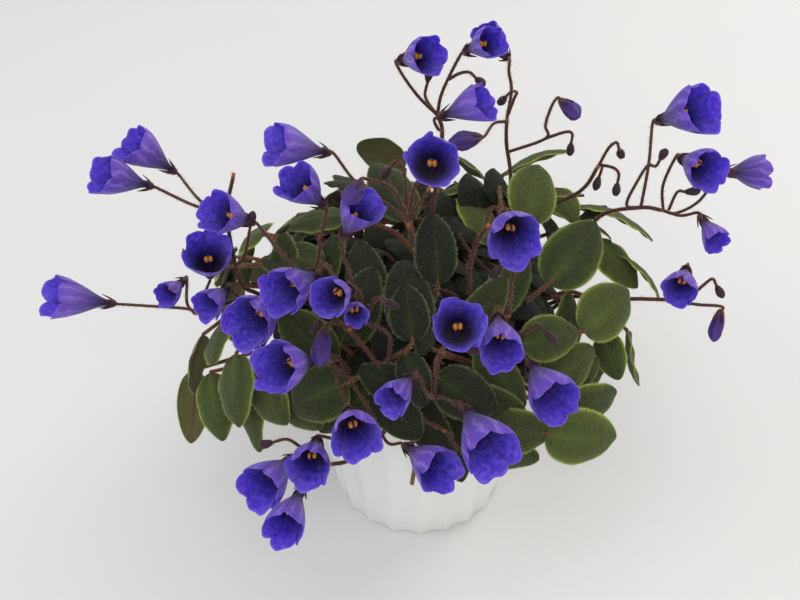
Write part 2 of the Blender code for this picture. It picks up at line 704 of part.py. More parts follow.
def flower_ring(foot, frame, distance, radius, count, turn=0.0):
    """A ring round a flower's axis, its first point at the top; radius may vary by angle."""
    side, top, axis = frame
    ring = []
    for k in range(count):
        angle = 2 * math.pi * (k / count + turn)
        reach = radius(k) if callable(radius) else radius
        out = distance(k) if callable(distance) else distance
        ring.append(foot + axis * out + (top * math.cos(angle) + side * math.sin(angle)) * reach)
    return ring


def petal_edge(k, length, size):
    """Distance and radius of the rim's points, three to a petal: middle, side, side."""
    petal = ((k + 1) // 3) % PETALS
    lower = petal in (2, 3)
    upper = petal == 0 or petal in (1, 4)
    middle = k % 3 == 0
    reach = MOUTH_RADIUS * size
    if middle:
        return length + (3.2 if lower else 1.2) * size, reach * (1.06 if lower else 0.98)
    return length - (0.2 if upper else -0.8) * size, reach * 0.93


def build_bloom(number, group, surface):
    """An open corolla: a five-sided tube that widens into a bell with five rounded petals."""
    foot, mouth, size = BLOOMS[number]
    foot, mouth = vec(foot), vec(mouth)
    frame = axis_frame(foot, mouth)
    length = (mouth - foot).length
    reach = MOUTH_RADIUS * size
    wall = PETAL_WALL
    waist, throat, anther = 0.42 * length, 0.78 * length, 0.42 * length + 0.6
    outer = [(1.5, 0.0, 1), (2.8, 1.5, 5), (waist, 0.44 * reach, 5), (throat, 0.88 * reach, 5)]
    inner = [(throat, 0.88 * reach - wall, 5), (4.6, 0.45, 3), (anther, 1.3, 3), (anther + 1.9, 0.0, 1)]
    rings = [flower_ring(foot, frame, d, r, n) for d, r, n in outer]
    for depth, inset in ((0.0, 0.0), (0.25, wall)):
        rings.append(flower_ring(foot, frame, lambda k: petal_edge(k, length, size)[0] - depth,
                                 lambda k: petal_edge(k, length, size)[1] - inset, 15))
    rings += [flower_ring(foot, frame, d, r, n) for d, r, n in inner]
    corolla = new_object("corolla", loft(rings), group)
    finish(corolla, "flower_%02d" % number, surface, group)


def calyx(foot, tip, group, spread=0.9):
    """A small cup of five pointed sepals, which stand between the petals."""
    frame = axis_frame(foot, tip)
    half = 0.5 / PETALS
    rings = [
        flower_ring(foot, frame, -2.0, 0.0, 1),
        flower_ring(foot, frame, lambda k: 1.5 if k % 2 else SEPAL_LENGTH,
                    lambda k: 2.0 if k % 2 else 2.7 + spread, 2 * PETALS, half),
        flower_ring(foot, frame, 0.9, 0.0, 1),
    ]
    return new_object("calyx", loft(rings), group)


def bud(foot, tip, radius, group):
    """A shut bud: a pointed drop."""
    frame = axis_frame(foot, tip)
    length = (tip - foot).length
    rings = [flower_ring(foot, frame, d * length, r * radius, n)
             for d, r, n in ((-0.1, 0, 1), (0.15, 0.7, 4), (0.65, 1.0, 4), (1.0, 0, 1))]
    return new_object("bud", loft(rings), group)


def stalk_points(end, points):
    """The stalk's own points, carried on to the foot of the flower that it bears."""
    path = [vec(p) for p in points]
    if end in BLOOMS or end in SHUT_FLOWERS:
        foot, tip = [vec(p) for p in (BLOOMS.get(end) or SHUT_FLOWERS[end])[:2]]
        along = (tip - foot).normalized()
        path += [foot - along * 3.0, foot]
    return path


def axil(crown, bearing, share):
    """A place beside a leafy stem, a gap away from its side, where a spray starts."""
    path = stem_path(crown)
    place = 1 + share * (len(path) - 2)
    low = int(place)
    point = path[low].lerp(path[min(low + 1, len(path) - 1)], place - low)
    way = Vector((math.cos(math.radians(bearing)), math.sin(math.radians(bearing)), 0))
    return point + way * (STEM_RADIUS + PEDUNCLE_RADIUS + GAP)


def stalk_end(end, path, group):
    """What a stalk bears: the calyx of a flower, a shut flower with its calyx, or a bud."""
    if end in BLOOMS:
        foot, tip, _ = BLOOMS[end]
        calyx(vec(foot), vec(tip), group)
    elif end in SHUT_FLOWERS:
        foot, tip, radius = SHUT_FLOWERS[end]
        calyx(vec(foot), vec(tip), group, 0.2)
        bud(vec(foot), vec(tip), radius, group)
    elif end == "bud":
        bud(path[-1], path[-1] + (path[-1] - path[-2]).normalized() * BUD_LENGTH, BUD_RADIUS, group)


def build_spray(name, group, surface):
    """A main stalk with its side stalks and what they bear, joined to one body."""
    crown, bearing, share, stalks = SPRAYS[name]
    parts = new_collection("stalks_" + name)
    for k, (end, *points) in enumerate(stalks):
        path = stalk_points(end, points)
        if k == 0:
            path.insert(0, axil(crown, bearing, share))
            main = tube("stalk", path, (PEDUNCLE_RADIUS, PEDUNCLE_RADIUS * 0.85), group)
        else:
            steps = 2 if len(path) < 4 else 1
            tube("stalk", smooth_path(path, steps), (PEDICEL_RADIUS, PEDICEL_RADIUS * 0.85), parts)
        stalk_end(end, path, parts)
    boolean(main, parts, "UNION")
    return finish(main, "flower_stalk_" + name, surface, group)


def main():
    clear_scene()
    group = new_collection("cape_primrose")
    build_pot(group)
    build_soil(group)
    build_crowns(group)
    for name in SPRAYS:
        build_spray(name, group, new_material("stalk_brown", (0.16, 0.06, 0.04), 0.7))
    violet = (0.12, 0.05, 0.55)
    for number in BLOOMS:
        build_bloom(number, group, new_material("petal_violet", violet, 0.6))


main()
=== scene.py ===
# %% [markdown]
# # A potted cape primrose, dressed for its portrait
# The plant is a low dome of velvety leaves and hairy stalks with three dozen violet bells over
# it, in a small white pot. The solids of the part are already right in size and place, so this
# lesson swaps each one for a finer piece that is grown from the same numbers: a leaf gets its
# veins and fringe, a stalk its hairs, a bell its overlapping petals and its anthers.
#
# The imported model is loaded first.

# %% Load the imported model
import json
import math
import random

import bmesh
import bpy
from mathutils import Matrix, Vector, noise

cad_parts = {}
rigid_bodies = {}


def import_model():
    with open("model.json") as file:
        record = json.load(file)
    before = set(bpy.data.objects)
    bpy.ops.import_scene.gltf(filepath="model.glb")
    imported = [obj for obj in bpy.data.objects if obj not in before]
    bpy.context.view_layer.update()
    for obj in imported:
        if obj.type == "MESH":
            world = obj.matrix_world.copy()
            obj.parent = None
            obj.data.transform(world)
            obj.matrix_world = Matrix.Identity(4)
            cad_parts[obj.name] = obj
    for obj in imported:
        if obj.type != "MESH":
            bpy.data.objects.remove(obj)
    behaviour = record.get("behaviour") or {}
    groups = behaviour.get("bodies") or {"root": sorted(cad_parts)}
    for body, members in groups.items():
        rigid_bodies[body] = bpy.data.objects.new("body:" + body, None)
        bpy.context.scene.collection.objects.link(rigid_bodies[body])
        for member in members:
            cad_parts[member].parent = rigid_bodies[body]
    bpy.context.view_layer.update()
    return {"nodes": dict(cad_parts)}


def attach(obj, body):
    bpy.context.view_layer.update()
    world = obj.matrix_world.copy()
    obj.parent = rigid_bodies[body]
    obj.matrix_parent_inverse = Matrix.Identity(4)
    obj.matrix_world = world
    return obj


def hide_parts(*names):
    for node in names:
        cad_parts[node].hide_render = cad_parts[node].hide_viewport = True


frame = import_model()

MM = 0.001
SEED = 7
print("solids loaded:", len(frame["nodes"]))

# %% [markdown]
# ## Arithmetic on sockets
# A shader is a recipe of small sums, and a recipe is easiest to read as an expression. The
# sums could be wired by hand, one node after another, but then the formula is lost among the
# links. Here one class stands for a socket: adding or multiplying two of them makes the Math
# node and links it. Colours don't go through Math nodes, which would turn them grey. They are
# blended with Mix nodes instead.

# %% The class that wraps a socket
class Wire:
    """The output of a node, with the usual arithmetic."""

    tree = None

    def __init__(self, socket):
        self.socket = socket

    @classmethod
    def node(cls, kind, settings=None, sockets=None, out=0):
        """Any node: its settings come first, then the values or links of its sockets."""
        made = cls.tree.nodes.new(kind)
        for name, value in (settings or {}).items():
            setattr(made, name, value)
        for name, value in (sockets or {}).items():
            if isinstance(value, Wire):
                cls.tree.links.new(value.socket, made.inputs[name])
            else:
                made.inputs[name].default_value = value
        return cls(made.outputs[out])

    @classmethod
    def sums(cls, operation, *values):
        return cls.node("ShaderNodeMath", {"operation": operation}, dict(enumerate(values)))

    def __add__(self, other):
        return self.sums("ADD", self, other)

    def __sub__(self, other):
        return self.sums("SUBTRACT", self, other)

    def __rsub__(self, other):
        return self.sums("SUBTRACT", other, self)

    def __mul__(self, other):
        return self.sums("MULTIPLY", self, other)

    def __abs__(self):
        return self.sums("ABSOLUTE", self)

    __radd__ = __add__
    __rmul__ = __mul__

    def sine(self):
        return self.sums("SINE", self)

    def between(self, low, high):
        """0 up to low, 1 from high on, and a soft step between them."""
        sockets = {"Value": self, "From Min": low, "From Max": high}
        return self.node("ShaderNodeMapRange", {"interpolation_type": "SMOOTHSTEP"}, sockets)


print("a Wire can add, take away, multiply and step")

# %% Colours, marks and grain for the recipes
def colour(red, green, blue):
    """A colour as read from a screen, 0 to 255, turned into the renderer's linear light."""
    parts = [value / 255 for value in (red, green, blue)]
    linear = [p / 12.92 if p <= 0.04045 else ((p + 0.055) / 1.055) ** 2.4 for p in parts]
    return (*linear, 1.0)


def blend(share, first, second):
    """The first colour where share is 0, the second where it is 1."""
    sockets = {0: share, 6: first, 7: second}
    return Wire.node("ShaderNodeMix", {"data_type": "RGBA"}, sockets, out=2)


def mark(name):
    """A number that the mesh carries at each of its points."""
    return Wire.node("ShaderNodeAttribute", {"attribute_name": name}, out=2)


def grain(size, detail=3.0, roughness=0.55):
    """Noise between 0 and 1, whose lumps are about size millimetres across."""
    place = Wire.node("ShaderNodeTexCoord", out=3)
    sockets = {"Vector": place, "Scale": 1 / (size * MM), "Detail": detail, "Roughness": roughness}
    return Wire.node("ShaderNodeTexNoise", {"noise_dimensions": "3D"}, sockets)


print("a middle grey in linear light:", [round(part, 3) for part in colour(128, 128, 128)[:3]])

# %% Turning a recipe into a material
def surface(name, recipe, **constants):
    """A material from a recipe, which returns colour, roughness and a relief in millimetres.

    What is the same all over is set on the shader's own sockets, as constants.
    """
    material = bpy.data.materials.new(name)
    material.use_nodes = True
    Wire.tree = material.node_tree
    shader = Wire.tree.nodes["Principled BSDF"]
    base, roughness, relief = recipe()
    bump_sockets = {"Height": relief, "Distance": MM, "Strength": 1.0}
    bump = Wire.node("ShaderNodeBump", None, bump_sockets)
    for socket, wire in (("Base Color", base), ("Roughness", roughness), ("Normal", bump)):
        Wire.tree.links.new(wire.socket, shader.inputs[socket])
    for socket, value in constants.items():
        shader.inputs[socket.replace("_", " ")].default_value = value
    print(name, "uses", len(Wire.tree.nodes), "nodes")
    return material

# %% [markdown]
# ## The place where the picture is taken
# The photograph looks down at the plant from a little above, against a pale sweep with
# shadows so soft that they hardly show. A big pale floor does the same. One hard sun would
# draw every stalk on it, so the light is a white sky with five wide lamps: one overhead, a
# warm one behind on the right that lights the leaf edges, a cool one on the left, one in
# front that reaches into the bells, and a low warm one on the right.

# %% Camera
CAMERA_PLACE = (-0.009, -0.379, 0.453)
CAMERA_TILT = 48.0
SENSOR_WIDTH = 36.0
FOCAL_LENGTH = 54.0
NEAREST_VIEW = 0.01


def add_object(name, data):
    """An object in the scene, made from its data."""
    made = bpy.data.objects.new(name, data)
    bpy.context.scene.collection.objects.link(made)
    return made


camera_data = bpy.data.cameras.new("camera")
camera_data.sensor_width = SENSOR_WIDTH
camera_data.lens = FOCAL_LENGTH
camera_data.clip_start = NEAREST_VIEW
camera = add_object("camera", camera_data)
camera.location = CAMERA_PLACE
camera.rotation_euler = (math.radians(CAMERA_TILT), 0, 0)
bpy.context.scene.camera = camera
# Plain colour handling keeps the violet of the petals from turning blue.
bpy.context.scene.view_settings.view_transform = "Standard"
print("the camera looks down by", 90 - CAMERA_TILT, "degrees")

# %% Floor
FLOOR_HALF = 3.0


def floor_recipe():
    """Pale paper: nearly even, with a trace of cloudiness."""
    cloud = grain(120.0)
    tone = blend(cloud, colour(224, 225, 227), colour(229, 228, 226))
    return tone, cloud * 0.1 + 0.7, grain(2.0) * 0.01


floor_mesh = bpy.data.meshes.new("floor")
corners = [(x * FLOOR_HALF, y * FLOOR_HALF, 0.0) for x, y in ((-1, -1), (1, -1), (1, 1), (-1, 1))]
floor_mesh.from_pydata(corners, [], [(0, 1, 2, 3)])
floor = add_object("floor", floor_mesh)
floor_mesh.materials.append(surface("pale_floor", floor_recipe))

# %% Lamps
LAMPS = {
    # name: place, colour, power in watts, width in metres
    "overhead": ((-0.1, 0.0, 1.6), (1.0, 1.0, 1.0), 6.0, 1.5),
    "behind_right": ((1.0, 0.9, 0.8), (1.0, 0.95, 0.88), 8.0, 0.8),
    "left": ((-1.2, -0.2, 0.8), (0.93, 0.96, 1.0), 4.0, 0.9),
    "front": ((-0.2, -1.3, 1.1), (1.0, 1.0, 1.0), 8.0, 1.0),
    "low_right": ((1.2, -0.5, 0.45), (1.0, 0.90, 0.78), 3.0, 0.8),
}
AIM = Vector((0.0, 0.0, 0.11))
for name, (place, tint, power, width) in LAMPS.items():
    lamp_data = bpy.data.lights.new(name, "AREA")
    lamp_data.color = tint
    lamp_data.energy = power
    lamp_data.size = width
    lamp = add_object(name, lamp_data)
    lamp.location = place
    lamp.rotation_euler = (AIM - Vector(place)).to_track_quat("-Z", "Y").to_euler()
print("lamps:", ", ".join(LAMPS))

# %% Sky
SKY_STRENGTH = 0.48
sky = bpy.data.worlds.new("studio_sky")
bpy.context.scene.world = sky
sky.use_nodes = True
sky_light = sky.node_tree.nodes["Background"]
sky_light.inputs["Color"].default_value = (1.0, 1.0, 1.0, 1.0)
sky_light.inputs["Strength"].default_value = SKY_STRENGTH
print("the sky gives", SKY_STRENGTH, "of full white")

# %% [markdown]
# ## Meshes that carry marks
# Leaves, stalks and bells have no flat sides, so each is grown as a skin: rings of points that
# are joined one to the next. The alternative, modelling one leaf by hand and placing copies,
# would make all of them alike. Each point also keeps a few numbers, such as how far along the
# leaf it lies. The shaders read these, so veins and rims follow the shape.

# %% The skin that all plant pieces are grown from
HAIR_SUNK = 0.1
# The corners of a hair's foot lie a third of a turn apart: this much back, this much aside.
THIRD_BACK, THIRD_ASIDE = 0.5, 0.87


class Skin:
    """A mesh in the making: points in millimetres, faces, and marks at each point."""

    def __init__(self, *marks):
        self.marks = marks
        self.points = []
        self.values = []
        self.faces = []

    def row(self, places, values):
        """Adds points, with one tuple of marks each, and returns their numbers."""
        first = len(self.points)
        self.points.extend(places)
        self.values.extend(values)
        return list(range(first, len(self.points)))

    def join(self, near, far):
        """Faces between two rings, where a ring of one point closes the end."""
        count = max(len(near), len(far))
        for k in range(count):
            n = (k + 1) % count
            if len(near) == 1:
                self.faces.append((near[0], far[n], far[k]))
            elif len(far) == 1:
                self.faces.append((near[k], near[n], far[0]))
            else:
                self.faces.append((near[k], near[n], far[n], far[k]))

    def loft(self, rings, values):
        """Joins rings in turn. Values hold one tuple of marks for all the points, or a list.

        The list has a tuple for each ring, or for each ring a list with a tuple for each point.
        """
        if isinstance(values, tuple):
            values = [values] * len(rings)
        rows = []
        for ring, marks in zip(rings, values):
            each = marks if isinstance(marks[0], tuple) else [marks] * len(ring)
            rows.append(self.row(ring, each))
        for near, far in zip(rows, rows[1:]):
            self.join(near, far)

    def hair(self, root, way, length, radius, values):
        """One hair: a cone of three sides, whose foot is sunk a little."""
        side = way.orthogonal().normalized() * radius
        over = way.normalized().cross(side)
        foot = root - way * HAIR_SUNK
        back = foot - side * THIRD_BACK
        corners = [foot + side, back + over * THIRD_ASIDE, back - over * THIRD_ASIDE]
        a, b, c, tip = self.row([*corners, root + way * length], [values] * 4)
        self.faces.extend(((a, b, tip), (b, c, tip), (c, a, tip)))

    def mesh(self, name):
        made = bpy.data.meshes.new(name)
        made.from_pydata([tuple(place * MM) for place in self.points], [], self.faces)
        for k, label in enumerate(self.marks):
            layer = made.attributes.new(label, "FLOAT", "POINT")
            layer.data.foreach_set("value", [values[k] for values in self.values])
        shape = bmesh.new()
        shape.from_mesh(made)
        bmesh.ops.recalc_face_normals(shape, faces=shape.faces)
        shape.to_mesh(made)
        shape.free()
        made.shade_smooth()
        return made


print("a skin is made of rings, and each of its points carries marks")

# %% Putting a piece in place of its solid
triangle_counts = {}


def put(name, mesh, material, slot, *nodes):
    """Makes the mesh a piece that rides on the part, and hides the solids that it names."""
    mesh.materials.clear()
    mesh.materials.append(material)
    piece = add_object(name, mesh)
    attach(piece, "root")
    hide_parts(*nodes)
    mesh.calc_loop_triangles()
    triangle_counts[name] = len(mesh.loop_triangles)


def triangles_of(start):
    """The triangles of all the pieces whose names start in the same way."""
    return sum(count for name, count in triangle_counts.items() if name.startswith(start))


print("solids that wait for a finer piece:", len(frame["nodes"]))

# %% Smooth paths and round stalks
def clamp(value, low=0.0):
    """The value, or the nearest number between low and 1."""
    return max(low, min(1.0, value))


def point_at(path, place):
    """A point of a path, where place counts its points from 0 and may lie between two."""
    low = int(place)
    return path[low].lerp(path[min(low + 1, len(path) - 1)], place - low)


def smooth_path(points, steps):
    """A smooth curve through all the points, with some steps between each two."""
    path = [points[0] * 2 - points[1], *points, points[-1] * 2 - points[-2]]
    curve = []
    for a, b, c, d in zip(path, path[1:], path[2:], path[3:]):
        for k in range(steps):
            t = k / steps
            curve.append(0.5 * ((2 * b) + (c - a) * t + (2 * a - 5 * b + 4 * c - d) * t ** 2
                                + (3 * b - a - 3 * c + d) * t ** 3))
    return [*curve, points[-1]]


def stalk_rings(path, radius, sides):
    """Round rings along a path, whose radius takes the share of the way along it."""
    rings = []
    across = (path[1] - path[0]).orthogonal()
    turns = [2 * math.pi * n / sides for n in range(sides)]
    for k, place in enumerate(path):
        way = (path[min(k + 1, len(path) - 1)] - path[max(k - 1, 0)]).normalized()
        across = (across - across.dot(way) * way).normalized()
        over = way.cross(across)
        size = radius(k / (len(path) - 1))
        rings.append([place + (across * math.cos(a) + over * math.sin(a)) * size for a in turns])
    return [[path[0]], *rings, [path[-1]]]


straight = [Vector((0, 0, 0)), Vector((0, 0, 9))]
print("rings of a straight stalk, ends and all:", len(stalk_rings(straight, lambda share: 1.0, 8)))

# %% Hairs round a stalk
HAIR_RADIUS = 0.055
SHORTEST_STEP = 1e-6
HAIR_ROOT = 0.95


def hairs_round(skin, start, step, radius, count, leans, length, spread, values, chance):
    """Hairs round a straight piece, which lean along it, and whose lengths are spread."""
    way = step.normalized()
    side = way.orthogonal().normalized()
    for _ in range(count):
        out = Matrix.Rotation(chance.uniform(0, 2 * math.pi), 3, way) @ side
        root = start + step * chance.random() + out * radius
        lean = (out + way * chance.uniform(*leans)).normalized()
        skin.hair(root, lean, length * chance.uniform(*spread), HAIR_RADIUS, values)


def fur(skin, path, radius, per_mm, length, values, chance):
    """Hairs all round a stalk, leaning a little towards its end."""
    for near, far in zip(path, path[1:]):
        step = far - near
        if step.length < SHORTEST_STEP:
            continue
        count = int(step.length * per_mm + chance.random())
        hairs_round(skin, near, step, radius * HAIR_ROOT, count, (-0.2, 0.6), length, (0.6, 1.2),
                    values, chance)


print("hairs are", HAIR_RADIUS * 2, "mm thick at the root")

# %% [markdown]
# ## The pot
# The real pot is one moulding of satin white plastic: a tapered wall of twenty shallow hollow
# flutes that meet in soft ridges, under a plain rim, with drainage holes in its floor. It
# could be a turned cylinder with grooves cut into it, but the ridges would come out sharp. So
# the wall is a ring of many points whose radius follows a formula: hollow in mid flute, and
# rounded where two flutes meet.

# %% The pot's sizes
POT_HEIGHT = 88.0
POT_FOOT_RADIUS = 39.0
POT_TOP_RADIUS = 50.0
POT_RIM_RADIUS = 52.5
POT_RIM_HEIGHT = 11.0
POT_WALL = 2.0
POT_FLOOR = 3.0
FLUTES = 20
FLUTE_DEPTH = 1.7
POINTS_PER_FLUTE = 14
WALL_RINGS = 15
DRAIN_HOLES = 4
DRAIN_RADIUS = 3.5
DRAIN_CIRCLE = 22.0
SHOULDER = POT_HEIGHT - POT_RIM_HEIGHT
SOFT_RIDGE = 0.10
print("the wall rises to its rim at", SHOULDER, "mm")

# %% The pot's wall
def level_ring(radius, height, count):
    """A ring round the upright axis, where radius and height are functions of the angle."""
    turns = [2 * math.pi * k / count for k in range(count)]
    ring = []
    for angle in turns:
        reach = radius(angle)
        x, y = reach * math.cos(angle), reach * math.sin(angle)
        ring.append(Vector((x, y, height(x, y))))
    return ring


def pot_radius(height):
    """The ridges' radius, which widens evenly up to the rim."""
    return POT_FOOT_RADIUS + (POT_TOP_RADIUS - POT_FOOT_RADIUS) * height / SHOULDER


def bore_radius(height):
    return pot_radius(height) - FLUTE_DEPTH - POT_WALL


def hollow(angle):
    """0 on a ridge and 1 in mid flute, with the ridge rounded off."""
    share = (angle * FLUTES / (2 * math.pi)) % 1.0
    off_ridge = 1 - abs(2 * share - 1)
    eased = math.sqrt(off_ridge ** 2 + SOFT_RIDGE ** 2) - SOFT_RIDGE
    return 1 - (1 - eased) ** 2


def pot_ring(radius, height, depth):
    count = FLUTES * POINTS_PER_FLUTE
    return level_ring(lambda angle: radius - depth * hollow(angle), lambda x, y: height, count)


def pot_rows():
    """Radius, height and flute depth of each ring, from the middle of the foot to the bore."""
    foot, rim, top = POT_FOOT_RADIUS, POT_RIM_RADIUS, POT_HEIGHT
    under, over = SHOULDER - 2.2, SHOULDER - 1.0
    rows = [(foot - 12, 0, 0), (foot - 4, 0, 0.2), (foot - 2.4, 0, 0.9)]
    rows += [(foot - 1.2, 0.25, 1.4), (foot - 0.3, 0.9, 1.6)]
    for k in range(WALL_RINGS):
        height = 2 + (SHOULDER - 5.5) * k / (WALL_RINGS - 1)
        rows.append((pot_radius(height), height, FLUTE_DEPTH))
    rows += [(pot_radius(under), under, FLUTE_DEPTH * 0.9)]
    rows += [(pot_radius(over) + 0.2, over, FLUTE_DEPTH * 0.5), (rim - 1.6, SHOULDER - 0.3, 0.2)]
    rows += [(rim - 0.5, SHOULDER + 0.1, 0), (rim, SHOULDER + 0.8, 0), (rim, top - 1.0, 0)]
    rows += [(rim - 0.25, top - 0.3, 0), (rim - 0.8, top, 0), (rim - 1.4, top, 0)]
    rows += [(rim - 1.9, top - 0.3, 0), (rim - POT_WALL, top - 1.0, 0)]
    rows += [(rim - POT_WALL, SHOULDER + 2, 0), (bore_radius(SHOULDER), SHOULDER, 0)]
    rows += [(bore_radius(POT_FLOOR + 1), POT_FLOOR + 1, 0)]
    rows += [(bore_radius(POT_FLOOR) - 1, POT_FLOOR, 0)]
    return rows


pot_skin = Skin("height")
rings = [pot_ring(*row) for row in pot_rows()]
rings = [[Vector((0, 0, 0))], *rings, [Vector((0, 0, POT_FLOOR))]]
pot_skin.loft(rings, [(ring[0].z,) for ring in rings])
pot_mesh = pot_skin.mesh("white_pot")
print("pot rings:", len(rings))

# %% The pot's drainage holes
DRILL_SIDES = 24
SHARP_EDGE = math.radians(50)


def drill(mesh, places, radius, depth):
    """Cuts round holes with one Boolean, which is applied."""
    item = add_object("drilled", mesh)
    drills = bpy.data.collections.new("drills")
    bpy.context.scene.collection.children.link(drills)
    for place in places:
        shape = bmesh.new()
        bmesh.ops.create_cone(shape, cap_ends=True, segments=DRILL_SIDES, radius1=radius * MM,
                              radius2=radius * MM, depth=depth * MM)
        bmesh.ops.translate(shape, verts=shape.verts, vec=place * MM)
        drill_mesh = bpy.data.meshes.new("drill")
        shape.to_mesh(drill_mesh)
        shape.free()
        drills.objects.link(bpy.data.objects.new("drill", drill_mesh))
    step = item.modifiers.new("holes", "BOOLEAN")
    step.operation = "DIFFERENCE"
    step.solver = "MANIFOLD"
    step.operand_type = "COLLECTION"
    step.collection = drills
    bpy.context.view_layer.update()
    ready = item.evaluated_get(bpy.context.evaluated_depsgraph_get())
    cut = bpy.data.meshes.new_from_object(ready)
    for other in [*drills.objects, item]:
        bpy.data.objects.remove(other, do_unlink=True)
    bpy.data.collections.remove(drills)
    cut.set_sharp_from_angle(angle=SHARP_EDGE)
    return cut


hole_turns = [2 * math.pi * (k + 0.5) / DRAIN_HOLES for k in range(DRAIN_HOLES)]
hole_places = [Vector((math.cos(a), math.sin(a), 0)) * DRAIN_CIRCLE for a in hole_turns]
pot_mesh = drill(pot_mesh, hole_places, DRAIN_RADIUS, 4 * POT_FLOOR)
print("pot faces after drilling:", len(pot_mesh.polygons))

# %% [markdown]
# Moulded plastic is never quite even: its gloss wanders a little, fine scratches catch the
# light, and dust and dried water gather low on the wall. The colour stays almost white, so
# most of the life is in the roughness.

# %% White plastic
def plastic_recipe():
    cloud = grain(30.0)
    scuff = grain(1.5, 6.0, 0.7)
    low = 1 - mark("height").between(0.5, 16.0)
    tone = blend(cloud, colour(233, 233, 231), colour(226, 227, 225))
    tone = blend(low * cloud * 0.35, tone, colour(196, 190, 180))
    return tone, scuff * 0.16 + low * 0.06 + 0.30, cloud * 0.12 + scuff * 0.008


white_plastic = surface("white_plastic", plastic_recipe, Coat_Weight=0.12, Coat_Roughness=0.25)
put("white_pot", pot_mesh, white_plastic, "white_plastic", "pot")
print("pot triangles:", triangle_counts["white_pot"])

# %% [markdown]
# ## The soil
# Under the leaves the pot is full of dark peaty soil, with crumbs and a few white grains that
# keep it airy. A flat disc would show when the plant is seen from low down. This one is a
# ring-by-ring disc pushed up and down by noise, with loose crumbs pressed into it.

# %% A bumpy disc of soil
SOIL_TOP = 75.0
SOIL_BUMP = 1.2
STEM_HOLE_DEPTH = 9.0
GAP = 0.3
SOIL_RINGS = 22
SOIL_POINTS = 96
soil_skin = Skin("pale")


def soil_height(x, y):
    """The soil's surface, which stays within its bump either way."""
    wave = noise.noise(Vector((x, y, 3.0)) / 7.0) + 0.5 * noise.noise(Vector((x, y, 9.0)) / 2.5)
    return SOIL_TOP + SOIL_BUMP * clamp(wave, -1.0)


def soil_ring(radius, height=None):
    """A ring on the soil's surface, or at a height of its own."""
    level = soil_height if height is None else lambda x, y: height
    return level_ring(lambda angle: radius, level, SOIL_POINTS)


soil_edge = bore_radius(SOIL_TOP) - GAP - 0.1
floor_edge = bore_radius(POT_FLOOR + GAP) - GAP - 0.1
rings = [[Vector((0, 0, POT_FLOOR + GAP))], soil_ring(floor_edge, POT_FLOOR + GAP)]
rings.append(soil_ring(soil_edge, SOIL_TOP - 2.0))
rings += [soil_ring(soil_edge * (1 - k / SOIL_RINGS)) for k in range(SOIL_RINGS)]
rings.append([Vector((0, 0, soil_height(0, 0)))])
soil_skin.loft(rings, (0.0,))
print("soil rings:", len(rings))

# %% Crumbs and white grains
CRUMBS = 260
WHITE_EVERY = 9
CRUMB_SIZES = (0.5, 1.3)
CRUMB_MARGIN = 2.5
CRUMB_SIDES = 6
# Rise and reach of a crumb's rings, as shares of its size.
CRUMB_SHAPE = ((-0.35, 0.8), (0.2, 1.0), (0.6, 0.5))


def crumb(skin, place, size, values, chance):
    """A small lump with uneven sides."""
    rings = [[place - Vector((0, 0, size * 0.6))]]
    for rise, share in CRUMB_SHAPE:
        ring = []
        for n in range(CRUMB_SIDES):
            angle = 2 * math.pi * n / CRUMB_SIDES + chance.uniform(-0.3, 0.3)
            reach = size * share * chance.uniform(0.7, 1.1)
            out = Vector((math.cos(angle) * reach, math.sin(angle) * reach, rise * size))
            ring.append(place + out)
        rings.append(ring)
    rings.append([place + Vector((0, 0, size * 0.8))])
    skin.loft(rings, values)


soil_chance = random.Random(SEED)
for k in range(CRUMBS):
    angle = soil_chance.uniform(0, 2 * math.pi)
    reach = (soil_edge - CRUMB_MARGIN) * math.sqrt(soil_chance.random())
    x, y = reach * math.cos(angle), reach * math.sin(angle)
    white = 1.0 if k % WHITE_EVERY == 0 else 0.0
    size = soil_chance.uniform(*CRUMB_SIZES)
    crumb(soil_skin, Vector((x, y, soil_height(x, y))), size, (white,), soil_chance)
print("crumbs:", CRUMBS)

# %% Peaty soil
def soil_recipe():
    lump = grain(2.5, 5.0, 0.7)
    speck = grain(0.5, 2.0)
    tone = blend(lump, colour(38, 28, 22), colour(86, 66, 50))
    tone = blend(speck.between(0.6, 0.75) * 0.5, tone, colour(120, 98, 74))
    tone = blend(mark("pale"), tone, colour(226, 222, 212))
    return tone, speck * 0.1 + 0.85, lump * 0.8 + speck * 0.2


potting_soil = surface("potting_soil", soil_recipe)
put("soil_bed", soil_skin.mesh("soil_bed"), potting_soil, "potting_soil", "soil")
print("soil triangles:", triangle_counts["soil_bed"])

# %% [markdown]
# ## The plan of the plant
# Every leaf, stalk and bell has a place that was read from the photograph, so they are kept as
# tables instead of being scattered at random. They are the same tables that the solids were
# made from. All the numbers are millimetres, with the middle of the pot's foot at 0, 0, 0.

# %% The dome of foliage and its leafy stems
DOME_MIDDLE = Vector((-2.0, 12.0, 70.0))
DOME_AXES = Vector((104.0, 88.0, 78.0))


def dome_normal(point):
    offset = point - DOME_MIDDLE
    return Vector([offset[i] / DOME_AXES[i] ** 2 for i in range(3)]).normalized()


def dome_point(bearing, fall, lift=0.0):
    """A point on the dome: bearing round from +X, fall down from its top, lift outwards."""
    b, f = math.radians(bearing), math.radians(fall)
    way = Vector((math.sin(f) * math.cos(b), math.sin(f) * math.sin(b), math.cos(f)))
    return DOME_MIDDLE + Vector([way[i] * (DOME_AXES[i] + lift) for i in range(3)])


